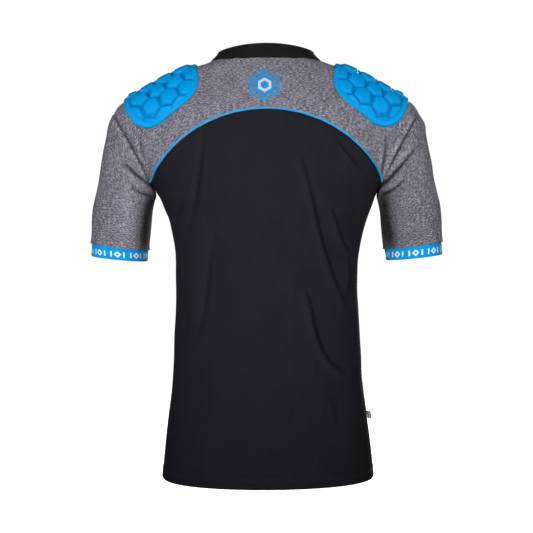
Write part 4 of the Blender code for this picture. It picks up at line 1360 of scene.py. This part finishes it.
def stitch_row(built, line, normals):
    """Adds one row of stitches along a line of points."""
    far = lengths_from(step_lengths(line))
    count = int(far[-1] / STITCH_PITCH)
    at = (np.arange(count) + 0.5) * far[-1] / count
    ahead = read_off(at + NEARBY, far, line) - read_off(at - NEARBY, far, line)
    sized = Matrix.Diagonal((STITCH_LENGTH / 2, STITCH_RADIUS, STITCH_RADIUS, 1))
    for centre, up, run in zip(read_off(at, far, line), read_off(at, far, normals), ahead):
        x_axis = Vector(run).normalized()
        y_axis = Vector(up).cross(x_axis).normalized()
        z_axis = x_axis.cross(y_axis)
        turned = Matrix((x_axis, y_axis, z_axis)).transposed().to_4x4()
        moved = Matrix.Translation(Vector(centre) + z_axis * STITCH_LIFT)
        bmesh.ops.create_icosphere(built, subdivisions=1, radius=1, matrix=moved @ turned @ sized)


def row_above(sewn, height):
    """The line of points at a height above a panel's lower edge, with its normals."""
    level = lengths_from(step_lengths(sewn.outer).mean(axis=1))
    row = np.interp(height, level, np.arange(len(level)))
    low = int(row)
    share = row - low
    line = sewn.outer[low] * (1 - share) + sewn.outer[low + 1] * share
    return line, sewn.normals[low]


def stitches(name, rows, finish):
    built = bmesh.new()
    for line, normals in rows:
        stitch_row(built, line, normals)
    dress(finished(name, built), None, finish)


hem_rows = [row_above(panel, height) for panel in panels for height in HEM_STITCH_HEIGHTS]
stitches("hem_stitches", hem_rows, black_thread)
collar_rows = [(collar.outer[COLLAR_STITCH_ROW], collar.normals[COLLAR_STITCH_ROW])]
stitches("collar_stitches", collar_rows, black_thread)
cuff_rows = [(sleeve.outer[CUFF_STITCH_ROW], sleeve.normals[CUFF_STITCH_ROW]) for sleeve in sleeves]
stitches("cuff_stitches", cuff_rows, grey_thread)

# %% [markdown]
# ## Studio
# The top is seen straight from behind against white. The key light stands behind the camera and is
# drawn in to a narrow beam, so that it fades towards the hem. Two weak narrow lights brush the
# sleeves from the sides, and a broad one lights the front. The sky is a dim fill that only the
# camera sees as white, and a pale floor lies well below the hem.

# %% Floor, sky and lights
FLOOR_HEIGHT, FLOOR_SIZE = -0.80, 9.0
SKY_FILL, SKY_SEEN = 0.04, 1.02


def pale_floor():
    built = bmesh.new()
    bmesh.ops.create_grid(built, x_segments=1, y_segments=1, size=FLOOR_SIZE,
                          matrix=Matrix.Translation((0, 0, FLOOR_HEIGHT)))
    made = finished("studio_floor", built)
    finish = Finish("pale_floor", 0.9, 0.1)
    uneven = finish.noise(finish.object_place(), 3.0)
    finish.put(finish.shader, "Base Color",
               finish.mix(uneven, (0.90, 0.90, 0.90), (0.94, 0.94, 0.94)))
    finish.put(finish.shader, "Emission Color", (1.0, 1.0, 1.0, 1.0))
    finish.put(finish.shader, "Emission Strength", 1.0)
    made.data.materials.append(finish.material)
    made.visible_diffuse = False
    made.visible_glossy = False


def studio_sky():
    world = bpy.data.worlds.new("studio_sky")
    world.use_nodes = True
    tree = world.node_tree
    background = tree.nodes["Background"]
    background.inputs["Color"].default_value = (1, 1, 1, 1)
    seen = tree.nodes.new("ShaderNodeLightPath")
    strength = tree.nodes.new("ShaderNodeMapRange")
    tree.links.new(seen.outputs["Is Camera Ray"], strength.inputs["Value"])
    strength.inputs["To Min"].default_value = SKY_FILL
    strength.inputs["To Max"].default_value = SKY_SEEN
    tree.links.new(strength.outputs[0], background.inputs["Strength"])
    bpy.context.scene.world = world


Light = namedtuple("Light", "name place aim size watts beam")
LIGHTS = (
    Light("key_light", (0.25, 2.1, -0.05), (0, 0, -0.23), 0.5, 3.05, math.radians(42)),
    Light("right_light", (-1.6, 0.50, 0.30), (-0.24, 0, -0.18), 0.7, 0.46, math.radians(27)),
    Light("left_light", (1.6, 0.45, 0.30), (0.24, 0, -0.18), 0.7, 0.34, math.radians(27)),
    Light("front_light", (-0.9, -2.4, 0.45), (0, 0, -0.28), 0.8, 60.0, math.pi),
)


def soft_light(light):
    lamp = bpy.data.lights.new(light.name, "AREA")
    lamp.shape = "DISK"
    lamp.size = light.size
    lamp.energy = light.watts
    lamp.spread = light.beam
    made = bpy.data.objects.new(light.name, lamp)
    made.location = light.place
    towards = Vector(light.aim) - Vector(light.place)
    made.rotation_euler = towards.to_track_quat("-Z", "Y").to_euler()
    bpy.context.scene.collection.objects.link(made)


pale_floor()
studio_sky()
for light in LIGHTS:
    soft_light(light)
bpy.context.scene.view_settings.view_transform = "Standard"
print("studio with", len(LIGHTS), "lights")

# %% [markdown]
# ## Camera
# The picture is taken from two metres behind, level with the middle of the top, with a long lens,
# so that the shoulders and the hem keep their true proportions.

# %% Camera
LENS_MM, SENSOR_MM = 87.1, 36.0
CAMERA_PLACE, CAMERA_ROLL = (0.0007, 2.0, -0.317), math.radians(0.3)

lens = bpy.data.cameras.new("camera")
lens.lens = LENS_MM
lens.sensor_width = SENSOR_MM
camera = bpy.data.objects.new("camera", lens)
camera.location = CAMERA_PLACE
camera.rotation_euler = (math.pi / 2, CAMERA_ROLL, math.pi)
bpy.context.scene.collection.objects.link(camera)
bpy.context.scene.camera = camera
print("camera at", tuple(round(v, 4) for v in camera.location))
